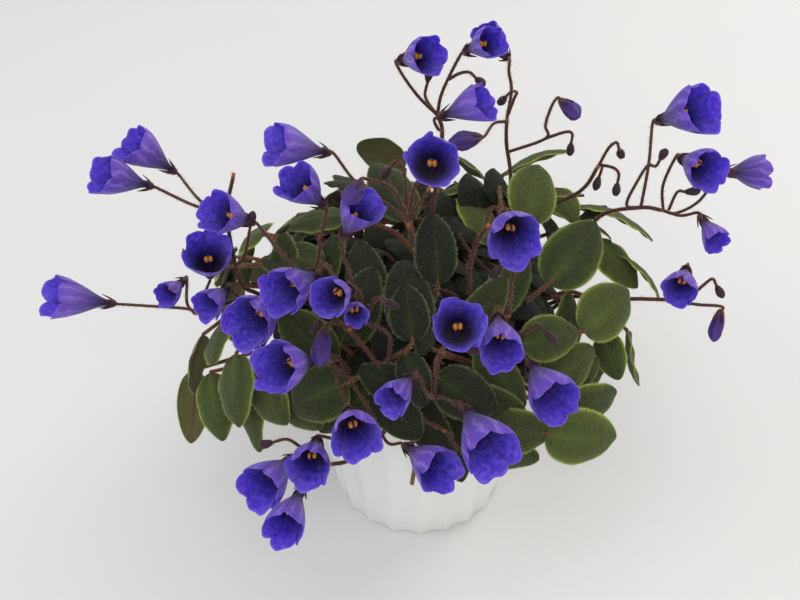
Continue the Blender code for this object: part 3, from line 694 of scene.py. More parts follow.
# Leafy stems. Each has the place of its top, then its leaves: the blade's foot, its tip, its
# width, and how far it is rolled about its own length in degrees.
CROWNS = {
    "left": {"top": (-48, 8, 100), "leaves": [
        ((-83, -7, 107), (-86, -31, 105), 20, 0), ((-94, -4, 95), (-100, -21, 76), 18, 40),
        ((-100, -5, 74), (-101, -30, 54), 15, 80), ((-90, -19, 87), (-85, -41, 68), 18, -45),
        ((-76, -29, 108), (-76, -52, 89), 22, 0), ((-73, -24, 92), (-69, -49, 70), 18, 0),
        ((-70, -29, 104), (-56, -55, 94), 21, 0), ((-57, -6, 127), (-58, 11, 140), 14, 0),
        ((-66, 8, 113), (-50, 17, 137), 16, 0), ((-40, -5, 136), (-67, 6, 129), 18, 0),
        ((-46, -8, 119), (-34, 9, 141), 17, 0),
    ]},
    "front_left": {"top": (-22, -30, 100), "leaves": [
        ((-60, -30, 96), (-41, -57, 94), 20, 0), ((-30, -53, 116), (-54, -50, 97), 24, 0),
        ((-16, -39, 103), (-42, -52, 86), 18, 0), ((-36, -34, 106), (-58, -20, 124), 20, 0),
        ((-33, -27, 112), (-20, -12, 140), 22, 0), ((-2, -38, 124), (-8, -8, 142), 20, 0),
        ((-4, -42, 128), (-7, -24, 142), 16, 0), ((-20, -19, 119), (-26, 7, 139), 18, 0),
        ((-7, -42, 122), (0, -62, 112), 13, 0), ((-20, -50, 108), (-1, -68, 101), 18, 0),
        ((-4, -48, 103), (12, -69, 87), 16, 0), ((2, -49, 100), (-25, -47, 118), 18, 0),
    ]},
    "front_right": {"top": (26, -27, 100), "leaves": [
        ((4, -36, 118), (-3, -38, 130), 11, 0), ((5, -50, 117), (28, -62, 110), 20, 0),
        ((23, -32, 116), (41, -53, 103), 17, 0), ((16, -28, 117), (34, -10, 134), 15, 0),
        ((27, -18, 120), (45, 4, 131), 17, 0), ((55, -29, 99), (62, -7, 122), 18, 0),
        ((65, -27, 119), (87, -7, 124), 23, 0), ((39, -39, 123), (63, -30, 122), 19, 0),
        ((48, -42, 104), (70, -29, 112), 20, 0), ((52, -39, 88), (74, -25, 102), 16, 0),
        ((60, -30, 80), (80, -18, 93), 14, 0), ((56, -46, 93), (83, -32, 88), 18, 0),
        ((49, -60, 94), (80, -54, 84), 25, 0), ((24, -60, 99), (53, -58, 93), 20, 0),
        ((14, -52, 106), (41, -56, 102), 18, 0), ((20, -54, 86), (48, -58, 76), 16, 0),
        ((8, -50, 97), (16, -70, 76), 14, 0),
    ]},
    "right": {"top": (50, 12, 102), "leaves": [
        ((45, 17, 140), (51, 43, 152), 22, 0), ((51, -14, 133), (72, 8, 148), 24, 0),
        ((66, 30, 100), (86, 40, 112), 15, 0), ((80, 38, 112), (98, 24, 98), 16, 60),
        ((90, 36, 107), (108, 19, 97), 16, 0), ((87, -11, 104), (91, -26, 86), 17, 160),
        ((76, -14, 106), (82, -30, 94), 14, 75),
    ]},
    "back_right": {"top": (34, 46, 108), "leaves": [
        ((33, 62, 124), (10, 50, 132), 16, 0), ((30, 70, 124), (8, 74, 138), 16, 0),
        ((38, 65, 130), (67, 68, 144), 21, 0), ((44, 56, 115), (74, 57, 126), 16, 0),
        ((60, 60, 126), (69, 40, 122), 14, 50), ((69, 53, 121), (94, 46, 121), 18, 0),
        ((57, 55, 117), (87, 43, 113), 18, 0), ((80, 50, 122), (104, 36, 116), 18, 0),
    ]},
    "back_left": {"top": (-30, 44, 106), "leaves": [
        ((-7, 68, 131), (-28, 73, 142), 17, 60), ((-14, 42, 124), (-39, 66, 130), 18, 0),
    ]},
    "top": {"top": (2, 6, 116), "leaves": [
        ((-32, 21, 141), (-56, 19, 137), 19, 0), ((-5, 11, 146), (-20, 39, 157), 20, 0),
        ((6, -19, 137), (4, -1, 159), 17, 0), ((31, 22, 123), (19, 52, 130), 20, 0),
    ]},
}

# The far side of the dome: rings of leaves, each with its fall from the top, how many
# leaves it has between the two bearings, and how far outwards it lies.
BACK_BEARINGS = (47, 165)
BACK_RINGS = ((58, 4, -5), (79, 5, -2), (101, 4, -3))
BACK_LEAF_LENGTH = 30
BACK_LEAF_WIDTH = 20
BACK_CROWNS = ((55, "right"), (100, "back_right"), (148, "back_left"), (181, "left"))
print("leaves that the photograph shows:", sum(len(plan["leaves"]) for plan in CROWNS.values()))

# %% The flowers
# Flowers: the foot of the corolla, the middle of its mouth, and the mouth's size.
BLOOMS = {
    1: ((-106, 40, 150), (-120, 36, 167), 0.95), 2: ((-114, 28, 151), (-130, 19, 164), 0.95),
    3: ((-132, 2, 108), (-153, -7, 120), 1.0), 4: ((-102, 10, 114), (-107, -4, 118), 0.6),
    5: ((-81, -1, 120), (-88, -16, 123), 0.7), 6: ((-89, 4, 122), (-87, -4, 142), 1.1),
    7: ((-70, 11, 145), (-82, 0, 159), 0.95), 8: ((-38, 18, 175), (-57, 10, 185), 0.95),
    9: ((-39, -8, 168), (-48, -14, 185), 0.9), 10: ((-31, -17, 160), (-23, -20, 178), 0.9),
    11: ((-41, -27, 150), (-53, -46, 157), 1.0), 12: ((-57, -20, 130), (-68, -40, 136), 1.15),
    13: ((-27, -40, 153), (-35, -55, 163), 0.8), 14: ((-28, -38, 145), (-25, -52, 151), 0.5),
    15: ((-42, -50, 126), (-55, -66, 138), 1.1), 17: ((-29, -65, 114), (-25, -85, 121), 1.0),
    18: ((-4, -64, 131), (-12, -79, 134), 0.7), 19: ((-7, -75, 104), (6, -93, 111), 0.95),
    20: ((15, -70, 120), (24, -94, 123), 1.15), 21: ((42, -44, 118), (50, -67, 121), 1.1),
    22: ((28, -44, 144), (28, -67, 147), 0.9), 23: ((12, -54, 142), (12, -66, 160), 1.05),
    24: ((30, -18, 172), (33, -39, 177), 1.1), 25: ((2, -14, 188), (3, -30, 206), 1.05),
    26: ((-9, 33, 208), (2, 21, 218), 0.85), 27: ((7, 21, 190), (23, 17, 200), 0.85),
    28: ((16, 23, 218), (25, 12, 229), 0.7), 29: ((33, 36, 208), (24, 26, 223), 0.7),
    32: ((99, 45, 172), (112, 31, 188), 1.15), 33: ((108, 33, 162), (115, 15, 169), 0.95),
    34: ((126, 26, 160), (142, 31, 156), 0.8), 35: ((114, 8, 150), (118, -6, 149), 0.6),
    36: ((109, -3, 132), (103, -19, 134), 0.8), 38: ((-52, -68, 89), (-62, -89, 96), 1.0),
    39: ((-41, -68, 100), (-43, -89, 108), 0.9), 40: ((-47, -83, 88), (-52, -107, 95), 0.85),
}

# Flowers that are still shut, or shut again and withered: foot, tip and half width.
SHUT_FLOWERS = {
    16: ((-38, -45, 136), (-39, -63, 135), 3.4),
    30: ((24, 39, 168), (11, 30, 171), 3.6),
    31: ((56, 32, 190), (62, 22, 189), 3.0),
    37: ((123, -15, 118), (119, -26, 112), 2.6),
    41: ((-24, -16, 185), (-29, -27, 184), 3.2),
}
print("open bells:", len(BLOOMS), " shut ones:", len(SHUT_FLOWERS))

# %% The routes of the flower stalks
# Each spray has its leafy stem, the bearing of the side on which it leaves the stem, the
# share of the way up, and its stalks. The first stalk is the main one. A row gives what the
# stalk ends in, then the points that it runs through from its fork: a number is a flower,
# "bud" a small bud, "cut" a bare end.
SPRAYS = {
    "low_left": ("left", 315, 0.55, [
        ("cut", (-49, -3, 107), (-68, -6, 110), (-75, 0, 112), (-81, -4, 114), (-95, -9, 112)),
        (3, (-95, -9, 112), (-98, -7, 113), (-115, -3, 111)),
        (4, (-95, -9, 112), (-99, -3, 113)),
        (6, (-95, -9, 112), (-92, -3, 116)),
        (5, (-76, -1, 113), (-80, 1, 116)),
    ]),
    "high_left": ("left", 145, 0.2, [
        ("cut", (-67, 3, 111), (-75, -2, 122), (-78, 3, 133), (-80, 11, 150), (-77, 21, 163)),
        (1, (-80, 11, 150), (-91, 16, 152)),
        (2, (-80, 11, 150), (-93, 13, 152)),
        ("bud", (-77, 1, 130), (-73, 0, 136), (-70, 5, 148)),
    ]),
    "mid_left": ("left", 300, 0.3, [
        ("cut", (-41, -5, 108), (-41, -14, 122), (-46, -16, 136)),
        (7, (-46, -16, 136), (-59, -3, 143)),
        (9, (-46, -16, 136), (-42, -13, 144), (-40, -12, 156)),
        (12, (-41, -14, 122), (-53, -17, 131)),
    ]),
    "middle": ("top", 295, 0.2, [
        ("cut", (6, -8, 119), (4, -15, 131), (-1, -11, 142), (-6, -3, 156)),
        (8, (-6, -3, 156), (-11, 1, 159), (-26, 8, 167)),
        (25, (-6, -3, 156), (-3, -2, 174)),
        ("cut", (-6, -3, 156), (3, 2, 170)),
        (41, (-6, -3, 156), (-8, -8, 168), (-13, -13, 181)),
        ("bud", (-6, -3, 156), (-7, 4, 172), (-9, 8, 177), (-11, 9, 177), (-13, 9, 174)),
    ]),
    "tall": ("top", 90, 0.7, [
        ("cut", (4, 17, 140), (7, 24, 165), (8, 26, 180), (6, 27, 187)),
        (26, (6, 27, 187), (-1, 28, 194), (-7, 28, 203)),
        (27, (8, 26, 180), (6, 22, 184)),
        (28, (6, 27, 187), (7, 26, 196), (10, 26, 205)),
        ("bud", (6, 27, 187), (3, 29, 190), (1, 32, 193), (2, 34, 198)),
        ("bud", (10, 26, 204), (14, 27, 206), (18, 28, 206), (21, 30, 202)),
    ]),
    "back": ("back_right", 300, 0.45, [
        ("cut", (40, 52, 128), (38, 62, 150), (37, 57, 166)),
        (29, (37, 57, 166), (37, 47, 186), (35, 43, 197)),
        (30, (37, 57, 164), (31, 51, 167)),
        ("bud", (37, 55, 168), (39, 52, 179), (40, 53, 181), (38, 57, 179), (36, 59, 175)),
        (31, (39, 60, 146), (54, 53, 158), (53, 51, 166), (53, 40, 182)),
        ("bud", (54, 53, 158), (62, 52, 162), (65, 52, 161), (65, 52, 156)),
    ]),
    "behind_right": ("back_right", 320, 0.65, [
        ("cut", (50, 42, 124), (69, 39, 140), (75, 35, 157)),
        ("bud", (75, 35, 157), (77, 31, 168), (80, 31, 171), (82, 33, 166)),
        ("bud", (75, 35, 157), (80, 30, 159), (82, 27, 158), (82, 27, 153)),
        ("bud", (75, 35, 157), (77, 38, 154), (76, 37, 149)),
    ]),
    "high_right": ("right", 0, 0.45, [
        ("cut", (60, 10, 100), (66, 20, 118), (78, 34, 130), (92, 21, 145), (101, 19, 145)),
        (32, (92, 21, 145), (93, 24, 165)),
        (33, (101, 19, 145), (101, 26, 153)),
        (34, (101, 19, 145), (106, 16, 146), (115, 17, 152)),
        (35, (101, 19, 145), (107, 13, 147)),
        ("bud", (93, 24, 165), (95, 20, 167), (96, 19, 171)),
        ("cut", (92, 21, 145), (86, 22, 146), (91, 26, 158), (93, 25, 164)),
        ("bud", (103, 18, 146), (106, 21, 153), (109, 20, 154)),
    ]),
    "low_right": ("right", 340, 0.55, [
        ("cut", (64, 6, 108), (80, 0, 112), (90, -4, 116), (103, -9, 120)),
        (37, (103, -9, 120), (113, -13, 121)),
        (36, (103, -9, 120), (107, -5, 126)),
        ("bud", (109, -11, 121), (116, -7, 126), (120, -5, 128), (122, -6, 125)),
    ]),
    "front_right": ("front_right", 115, 0.6, [
        ("cut", (22, -17, 112), (20, -15, 125), (19, -11, 138), (21, -15, 155), (25, -17, 166)),
        (24, (24, -16, 164), (26, -13, 171)),
        ("cut", (22, -17, 112), (30, -30, 122), (31, -40, 134), (33, -40, 140)),
        (22, (31, -40, 136), (29, -39, 143)),
        ("bud", (33, -40, 140), (34, -31, 146), (35, -28, 155), (33, -26, 156), (30, -26, 152)),
        ("bud", (29, -29, 121), (38, -36, 126), (45, -36, 131), (48, -38, 129)),
        (21, (29, -29, 121), (38, -36, 122)),
    ]),
    "front": ("front_left", 345, 0.2, [
        ("cut", (-12, -36, 104), (1, -41, 113), (4, -58, 113)),
        (23, (4, -58, 113), (7, -48, 128)),
        (18, (4, -58, 113), (1, -63, 121)),
        (20, (4, -58, 113), (8, -60, 115), (12, -66, 118)),
        ("bud", (7, -48, 128), (9, -54, 138), (15, -55, 137)),
        ("cut", (1, -41, 113), (-2, -59, 106), (9, -67, 103)),
        ("bud", (9, -67, 103), (12, -74, 104), (16, -78, 102)),
    ]),
    "low_front": ("front_left", 300, 0.3, [
        ("cut", (-19, -45, 93), (-15, -62, 98), (-28, -72, 93), (-36, -74, 92)),
        (40, (-36, -74, 92), (-45, -77, 91)),
        (38, (-36, -74, 92), (-46, -71, 94)),
        (39, (-15, -62, 98), (-28, -68, 99)),
        ("bud", (-43, -72, 94), (-48, -70, 98), (-53, -68, 100), (-59, -67, 97)),
    ]),
    "mid_front": ("front_left", 230, 0.3, [
        ("cut", (-28, -36, 99), (-31, -40, 112), (-34, -42, 119), (-36, -46, 120)),
        (17, (-36, -46, 120), (-32, -56, 116)),
        (19, (-36, -46, 120), (-28, -52, 115), (-20, -63, 109), (-14, -73, 104)),
        (15, (-34, -42, 119), (-40, -45, 123)),
    ]),
    "centre": ("front_left", 65, 0.2, [
        ("cut", (-15, -29, 109), (-15, -45, 114), (-22, -44, 125), (-29, -41, 134)),
        (16, (-29, -41, 134), (-34, -42, 138)),
        ("bud", (-29, -41, 134), (-33, -40, 137), (-38, -39, 140), (-40, -40, 137)),
        ("cut", (-15, -45, 114), (-13, -41, 130), (-23, -40, 136), (-26, -41, 140)),
        (14, (-26, -41, 140), (-30, -38, 143)),
        (13, (-26, -41, 140), (-24, -38, 146)),
        (11, (-26, -41, 140), (-33, -36, 150), (-37, -26, 153)),
        (10, (-26, -41, 140), (-28, -28, 148), (-31, -20, 153)),
        ("bud", (-23, -40, 136), (-20, -40, 145), (-17, -40, 149), (-14, -39, 146)),
    ]),
}
print("sprays:", len(SPRAYS), " stalks:", sum(len(spray[3]) for spray in SPRAYS.values()))

# %% [markdown]
# ## The leaves
# A leaf of this plant is a small egg-shaped blade, soft as velvet, that is dark grey-green in
# the shade of the plant and yellow-green where light comes through its edge. It has a sunken
# midrib, a few faint side veins, and a fringe of pale hairs. One could bend flat cut-outs, but
# their edges look like paper. Each blade here is a thin closed skin, thickest at the midrib,
# that arches along its length and droops at its sides. Its stalk runs on below it as the rib.

# %% Where stems and leaf stalks run
STEM_RADIUS = 2.0
# A stem's foot lies at this share of its top's distance from the pot's axis.
STEM_FOOT_SHARE = 0.56
COLLAR_RISE = 4.0
STEM_BOW = 2.0
PETIOLE_RADIUS = 0.9
# Leaf stalks start between these shares of the way up their stem, a little to one side.
PETIOLE_SHARES = (0.62, 0.96)
PETIOLE_ASIDE = 0.8
# A longer leaf stalk than this is arched: its top is this share of the way to a point that
# lies back from the blade's foot, and is raised. Back and rise are shares of its reach.
SHORT_PETIOLE = 34.0
ARCH_PLACE, ARCH_BACK, ARCH_RISE = 0.55, 0.35, 0.10
RIM_CLEARANCE = 4.0


def stem_path(crown):
    """A leafy stem: upright out of the soil, then leaning out to its top."""
    top = Vector(CROWNS[crown]["top"])
    x, y = top.x * STEM_FOOT_SHARE, top.y * STEM_FOOT_SHARE
    foot = Vector((x, y, SOIL_TOP - STEM_HOLE_DEPTH + GAP))
    collar = Vector((x, y, SOIL_TOP + COLLAR_RISE))
    middle = collar.lerp(top, 0.5) + Vector((0, 0, STEM_BOW))
    return [foot, *smooth_path([collar, middle, top], 3)]


def blade_frame(foot, tip, roll):
    """Across, along and upward directions of a leaf blade."""
    along = (tip - foot).normalized()
    upward = dome_normal((foot + tip) / 2)
    upward = (upward - upward.dot(along) * along).normalized()
    upward = Matrix.Rotation(math.radians(roll), 3, along) @ upward
    return along.cross(upward), along, upward


def petiole_bend(start, foot, along):
    """The bend of a leaf's stalk: over the pot's rim, or arched if the stalk is long."""
    reach = (foot - start).length
    over_rim = POT_HEIGHT + RIM_CLEARANCE
    if foot.z < over_rim:
        outward = Vector((foot.x, foot.y, 0)).normalized() * POT_RIM_RADIUS
        return [outward + Vector((0, 0, over_rim))]
    if reach > SHORT_PETIOLE:
        before = foot - along * reach * ARCH_BACK
        return [start.lerp(before, ARCH_PLACE) + Vector((0, 0, ARCH_RISE * reach))]
    return []


def petiole_start(path, share, foot):
    """A place in the upper part of a leafy stem, a little to the side that the leaf is on."""
    low, high = PETIOLE_SHARES
    point = point_at(path, (low + (high - low) * share) * (len(path) - 1))
    return point + (foot - point).normalized() * PETIOLE_ASIDE


print("points of the left stem:", len(stem_path("left")))

# %% Leaves on the far side
# A blade's slope is taken from the dome this many degrees further down.
SLOPE_STEP = 8
BACK_LEAF_TILT = 3


def back_crown(bearing):
    """The leafy stem that bears what grows on the far side at that bearing."""
    return next(name for limit, name in BACK_CROWNS if bearing < limit)


def back_leaves():
    """Leaves of the dome's far side, by ring, each given to the nearest leafy stem."""
    chance = random.Random(SEED)
    rows = []
    first, last = BACK_BEARINGS
    for fall, count, lift in BACK_RINGS:
        for k in range(count):
            bearing = first + (last - first) * (k + 0.5) / count + chance.uniform(-4, 4)
            middle = dome_point(bearing, fall + chance.uniform(-3, 3), lift)
            down = dome_point(bearing, fall + SLOPE_STEP, lift) - middle
            turn = Matrix.Rotation(math.radians(chance.uniform(-25, 25)), 3, dome_normal(middle))
            along = (turn @ down).normalized() * BACK_LEAF_LENGTH / 2
            rise = dome_normal(middle) * BACK_LEAF_TILT
            row = (middle - along - rise, middle + along + rise, BACK_LEAF_WIDTH)
            rows.append((back_crown(bearing), (*row, chance.uniform(-12, 12))))
    return rows


print("leaves on the far side:", len(back_leaves()))

# %% The shape of one blade
BLADE_ROWS = 26
BLADE_COLUMNS = 16
BLADE_THICKNESS = 0.7
MARGIN_THICKNESS = 0.16
BLADE_DROOP = 0.09
BLADE_CONVEX = 0.16
# The outline: how near the foot it is widest, how full and how blunt it is, how late it
# narrows to its point, and a last trim of its width.
FOOTWARD, FULLNESS, BLUNTNESS, NARROWING, WIDTH_TRIM = 0.93, 2.25, 0.56, 2.6, 1.03
GROOVE_DEPTH = 0.42
GROOVE_WIDTH = 0.09
VEIN_RELIEF = 0.44
VEIN_PAIRS = 5.2
VEIN_SLANT = 1.5
RUFFLE = 0.45
RUFFLES = 5


class Blade:
    """The surface of one leaf blade, with its own curl and ruffle."""

    def __init__(self, foot, tip, width, roll, chance):
        self.foot = foot
        self.across, self.along, self.upward = blade_frame(foot, tip, roll)
        self.length = (tip - foot).length
        self.half = width / 2
        self.curl = chance.uniform(0.0, 0.20)
        self.nod = chance.uniform(0.05, 0.30)
        self.sway = chance.uniform(-0.05, 0.05)
        self.phase = chance.uniform(0, 2 * math.pi)
        self.point_end = chance.uniform(0.20, 0.42)

    def reach(self, t):
        """Half the width at a share t of the length: broad and blunt, wider near the foot."""
        even = 1 - abs(2 * t ** FOOTWARD - 1) ** FULLNESS
        end = 1 - self.point_end * t ** NARROWING
        return self.half * max(0.0, even) ** BLUNTNESS * end * WIDTH_TRIM

    def centre(self, t):
        arch = BLADE_DROOP * self.length * (1 - (2 * t - 1) ** 2)
        sway = self.sway * self.length * math.sin(math.pi * t)
        return self.foot + self.along * (t * self.length) + self.upward * arch + self.across * sway

    def point(self, t, x, side=0.0):
        """A point at a share t along and x across, on top (1), beneath (-1) or between (0)."""
        reach, off = self.reach(t), abs(x)
        drop = (BLADE_CONVEX + self.curl) * reach * off ** 1.8 + self.nod * self.half * t ** 4
        groove = GROOVE_DEPTH * math.exp(-((x / GROOVE_WIDTH) ** 2))
        groove *= math.sin(math.pi * min(1, t * 1.15))
        veins = math.sin(2 * math.pi * (VEIN_PAIRS * t - VEIN_SLANT * off)) * off * (1 - x * x)
        ruffle = RUFFLE * math.sin(RUFFLES * math.pi * t + self.phase + 1.5 * x) * off ** 4
        thick = MARGIN_THICKNESS + (BLADE_THICKNESS - MARGIN_THICKNESS) * (1 - x * x)
        height = ruffle - drop - groove + VEIN_RELIEF * veins + side * thick / 2
        return self.centre(t) + self.across * (x * reach) + self.upward * height


print("points on a blade:", BLADE_ROWS * BLADE_COLUMNS * 2)

# %% Growing a blade and its stalk
LEAF_MARKS = ("along", "across", "under", "stalk", "hair", "tone", "outer")
ROW_INSET = 0.35
PETIOLE_SIDES = 8
# The leaf stalk runs on beneath the blade through these shares of its length.
RIB_STOPS = (0.1, 0.22, 0.36, 0.5, 0.64, 0.78)


def grow_blade(skin, blade, tone, outer, rows, columns):
    """Rings from foot to tip, which run across the top of the blade and back beneath it."""
    span = rows + 2 * ROW_INSET
    stops = [(1 - math.cos(math.pi * (i + ROW_INSET) / span)) / 2 for i in range(rows + 1)]
    over = [-math.cos(math.pi * j / columns) for j in range(columns + 1)]
    back = over[-2:0:-1]
    rings, values = [[blade.point(0, 0)]], [(0, 0, 0, 0, 0, tone, outer)]
    for t in stops:
        ring = [blade.point(t, x, 1 if abs(x) < 1 else 0) for x in over]
        rings.append(ring + [blade.point(t, x, -1) for x in back])
        marks = [(t, x, 0, 0, 0, tone, outer) for x in over]
        values.append(marks + [(t, x, 1, 0, 0, tone, outer) for x in back])
    rings.append([blade.point(1, 0)])
    values.append((1, 0, 0, 0, 0, tone, outer))
    skin.loft(rings, values)


def grow_petiole(skin, blade, start, tone, outer, chance):
    """The leaf stalk, which thins out below the blade as its midrib."""
    bend = petiole_bend(start, blade.foot, blade.along)
    stalk = smooth_path([start, *bend, blade.foot - blade.along * 0.4], 5)
    path = stalk + [blade.point(t, 0, -1) for t in RIB_STOPS]
    bare = (len(stalk) - 1) / (len(path) - 1)

    def radius(share):
        if share < bare:
            return PETIOLE_RADIUS * (1.12 - 0.2 * share / bare)
        return PETIOLE_RADIUS * (0.92 - 0.67 * (share - bare) / (1 - bare))

    rings = stalk_rings(path, radius, PETIOLE_SIDES)
    values = [(0, 0, 1, 1, 0, tone, outer)] * (len(stalk) + 1)
    values += [(0.5, 0, 1, 0.45, 0, tone, outer)] * (len(rings) - len(values))
    skin.loft(rings, values)
    fur(skin, stalk, PETIOLE_RADIUS, 5, 0.9, (0, 0, 0, 0, 1, tone, outer), chance)


print("marks of a leaf:", ", ".join(LEAF_MARKS))

# %% The fringe and the down of a leaf
FRINGE_PER_MM = 4.0
DOWN_PER_LEAF = 150
FRINGE_THICKNESS, DOWN_THICKNESS = HAIR_RADIUS * 0.7, HAIR_RADIUS * 0.6
# Both margins together, as a share of a blade's length.
MARGINS = 2.2


def grow_fringe(skin, blade, tone, outer, chance):
    """Hairs along both margins, and short down on the upper face."""
    fringe, down = [(0.5, 0, 0, 0, hair, tone, outer) for hair in (1, 0.35)]
    for _ in range(int(MARGINS * blade.length * FRINGE_PER_MM)):
        t, side = chance.uniform(0.02, 0.99), chance.choice((-1, 1))
        out = blade.across * side * math.sin(math.pi * min(t, 0.8)) + blade.along * (t - 0.25)
        way = (out + blade.upward * chance.uniform(-0.5, 0.4)).normalized()
        skin.hair(blade.point(t, side), way, chance.uniform(0.5, 1.0), FRINGE_THICKNESS, fringe)
    for _ in range(DOWN_PER_LEAF):
        t, x = chance.uniform(0.04, 0.97), chance.uniform(-0.95, 0.95)
        way = blade.upward + blade.along * chance.uniform(0, 0.8)
        way = (way + blade.across * chance.uniform(-0.4, 0.4)).normalized()
        skin.hair(blade.point(t, x, 1), way, chance.uniform(0.3, 0.6), DOWN_THICKNESS, down)


print("hairs on a leaf 30 mm long:", int(30 * MARGINS * FRINGE_PER_MM) + DOWN_PER_LEAF)

# %% [markdown]
# The leaf's colour is mixed from what its marks say. Leaves in the middle of the dome are dark
# grey-green, and those at its outside olive. This is partly their own colour and partly painted
# light: lit leaves are painted lighter and shaded ones darker. Light comes through the thin margin,
# which is painted as a brighter yellow-green rim, with a wider painted glow on the outer leaves.
# The hollows of the pucker are painted darker as shade. The underside is dull brown-olive,
# and the midrib and the leaf stalk turn red-brown. A sheen, the same all over, gives the velvet.

# %% Velvet leaf
# The side veins of the blade's shape, as angles of a sine along the leaf and across it.
VEINS_ALONG, VEINS_ACROSS = 32.7, 9.4


def leaf_recipe():
    along, across, outer = mark("along"), abs(mark("across")), mark("outer")
    cloud, pile, pucker = grain(5.0), grain(0.45, 3.0), grain(2.2, 3.0)
    shade = mark("tone") * 0.55 + cloud * 0.45
    dark = blend(shade, colour(7, 11, 8), colour(30, 37, 27))
    olive = blend(shade, colour(40, 51, 24), colour(82, 92, 42))
    # Partly painted light: leaves that the lamps reach are painted olive, and the middle ones dark.
    top = blend(outer, dark, olive)
    # Painted light: a yellow-green glow over the outer half of outer leaves, as if lit through.
    painted_glow = across.between(0.5, 1.0) * outer.between(0.0, 0.9) * 0.36
    top = blend(painted_glow, top, colour(114, 132, 46))
    rim = across.between(0.86, 1.0) * (outer * 0.7 + 0.3)
    top = blend(rim, top, blend(outer, colour(112, 124, 84), colour(172, 190, 60)))
    foot = (1 - across.between(0.0, 0.45)) * (1 - along.between(0.15, 0.75))
    top = blend(foot * (outer.between(0.0, 0.8) * 0.14 + 0.06), top, colour(106, 132, 54))
    side_veins = (along * VEINS_ALONG - across * VEINS_ACROSS).sine().between(0.82, 1.0)
    side_veins = side_veins * (1 - across.between(0.75, 0.98))
    midrib = 1 - across.between(0.02, 0.09)
    top = blend(side_veins * 0.03, top, colour(130, 140, 90))
    top = blend(midrib * 0.10, top, colour(104, 108, 66))
    # Painted shade: the hollows of the pucker relief are darker.
    painted_pit_shade = (1 - pucker.between(0.30, 0.62)) * 0.30
    top = blend(painted_pit_shade, top, blend(outer, colour(8, 12, 9), colour(34, 46, 22)))
    down = pile.between(0.46, 0.66) * (outer.between(-0.2, 0.9) * 0.15 + 0.12)
    top = blend(down, top, colour(116, 130, 78))
    under = blend(shade, colour(78, 78, 48), colour(104, 102, 62))
    base = blend(mark("under"), top, under)
    stalk = blend(cloud, colour(88, 42, 32), colour(122, 78, 46))
    base = blend(mark("stalk"), base, stalk)
    base = blend(mark("hair"), base, colour(190, 196, 160))
    # Painted shade: leaves with an outer mark below 0, deep in the dome, are darkened.
    deep = 1 - (outer + 1).between(0.0, 1.0)
    base = blend(deep * 0.6, base, colour(14, 18, 12))
    relief = pile * 0.16 + cloud * 0.3 + pucker * 0.6 - side_veins * 0.10
    return base, pile * 0.2 + 0.66, relief


leaf_velvet = surface("leaf_velvet", leaf_recipe, Sheen_Weight=0.14, Sheen_Roughness=0.45,
                      Sheen_Tint=(0.80, 0.86, 0.66, 1.0), Specular_IOR_Level=0.2)

# %% [markdown]
# The leaves that show don't fill the dome, and one would look through them to the soil. A
# real plant has many more below, dark and small. They are grown with fewer points and no
# fringe, some round the top of each stem, some on the far side, and a few listed in a table.

# %% Leaves that stay in the shade
INNER_LEAVES = 14
BACK_FILL = 26
FILL_BEARINGS = (38, 172)
# Multiples of this share never bunch together.
GOLDEN_SHARE = 0.618
# Leaves deep inside the dome have an outer mark below 0, and are painted darker, as shade.
DEEP, HALF_DEEP, FILL_OUTER = -1.0, -0.35, 0.1
# Leafy stem, foot, tip, width and roll of those that close gaps at the back of the dome.
SHADED_LEAVES = [
    ("top", (-14, 22, 114), (-21, 34, 125), 20, 0),
    ("top", (14, 34, 121), (12, 50, 133), 22, 0),
    ("back_right", (26, 40, 126), (22, 56, 138), 20, 0),
    ("back_right", (37, 44, 129), (33, 58, 139), 18, 0),
    ("back_right", (63, 35, 110), (58, 50, 120), 18, 0),
    ("top", (52, 12, 110), (49, 28, 117), 16, 0),
    ("back_right", (70, 45, 117), (83, 50, 125), 15, 0),
    ("back_left", (-42, 30, 108), (-52, 42, 117), 18, 0),
    ("back_left", (-25, 50, 133), (-43, 55, 133), 15, 0),
    ("top", (-30, 15, 104), (-33, 30, 114), 16, 0),
    ("back_left", (-36, 38, 117), (-40, 50, 126), 16, 0),
    ("back_right", (4, 52, 125), (0, 60, 136), 16, 0),
]


def inner_leaves(crown, chance):
    """Small shaded leaves round the top of a leafy stem, below the leaves that show."""
    top = Vector(CROWNS[crown]["top"])
    bearing = math.degrees(math.atan2(top.y - DOME_MIDDLE.y, top.x - DOME_MIDDLE.x))
    rows = []
    for k in range(INNER_LEAVES):
        if crown == "top":
            turn, fall = 360 * k / INNER_LEAVES, chance.uniform(4, 30)
        else:
            turn, fall = bearing + chance.uniform(-58, 58), chance.uniform(22, 80)
        depth = chance.uniform(-30, -17)
        middle = dome_point(turn, fall, depth)
        down = dome_point(turn + chance.uniform(-9, 9), fall + SLOPE_STEP, depth) - middle
        along = down.normalized() * chance.uniform(11, 14)
        rise = dome_normal(middle) * chance.uniform(0, 4)
        foot, tip = middle - along - rise, middle + along - rise
        if min(foot.z, tip.z) > POT_HEIGHT + 2:
            rows.append((foot, tip, chance.uniform(15, 19), chance.uniform(-25, 25)))
    return rows


def filling_leaves(chance):
    """Smaller leaves between and below the large ones of the far side."""
    rows = []
    first, last = FILL_BEARINGS
    for k in range(BACK_FILL):
        bearing = first + (last - first) * ((k * GOLDEN_SHARE) % 1.0)
        middle = dome_point(bearing, chance.uniform(38, 94), chance.uniform(-15, -8))
        down = dome_point(bearing + chance.uniform(-6, 6), 99, -11) - middle
        way = (down + dome_normal(middle) * chance.uniform(0, 6)).normalized()
        along = way * chance.uniform(11, 14)
        row = (middle - along, middle + along, chance.uniform(14, 18), chance.uniform(-20, 20))
        rows.append((back_crown(bearing), row))
    return rows


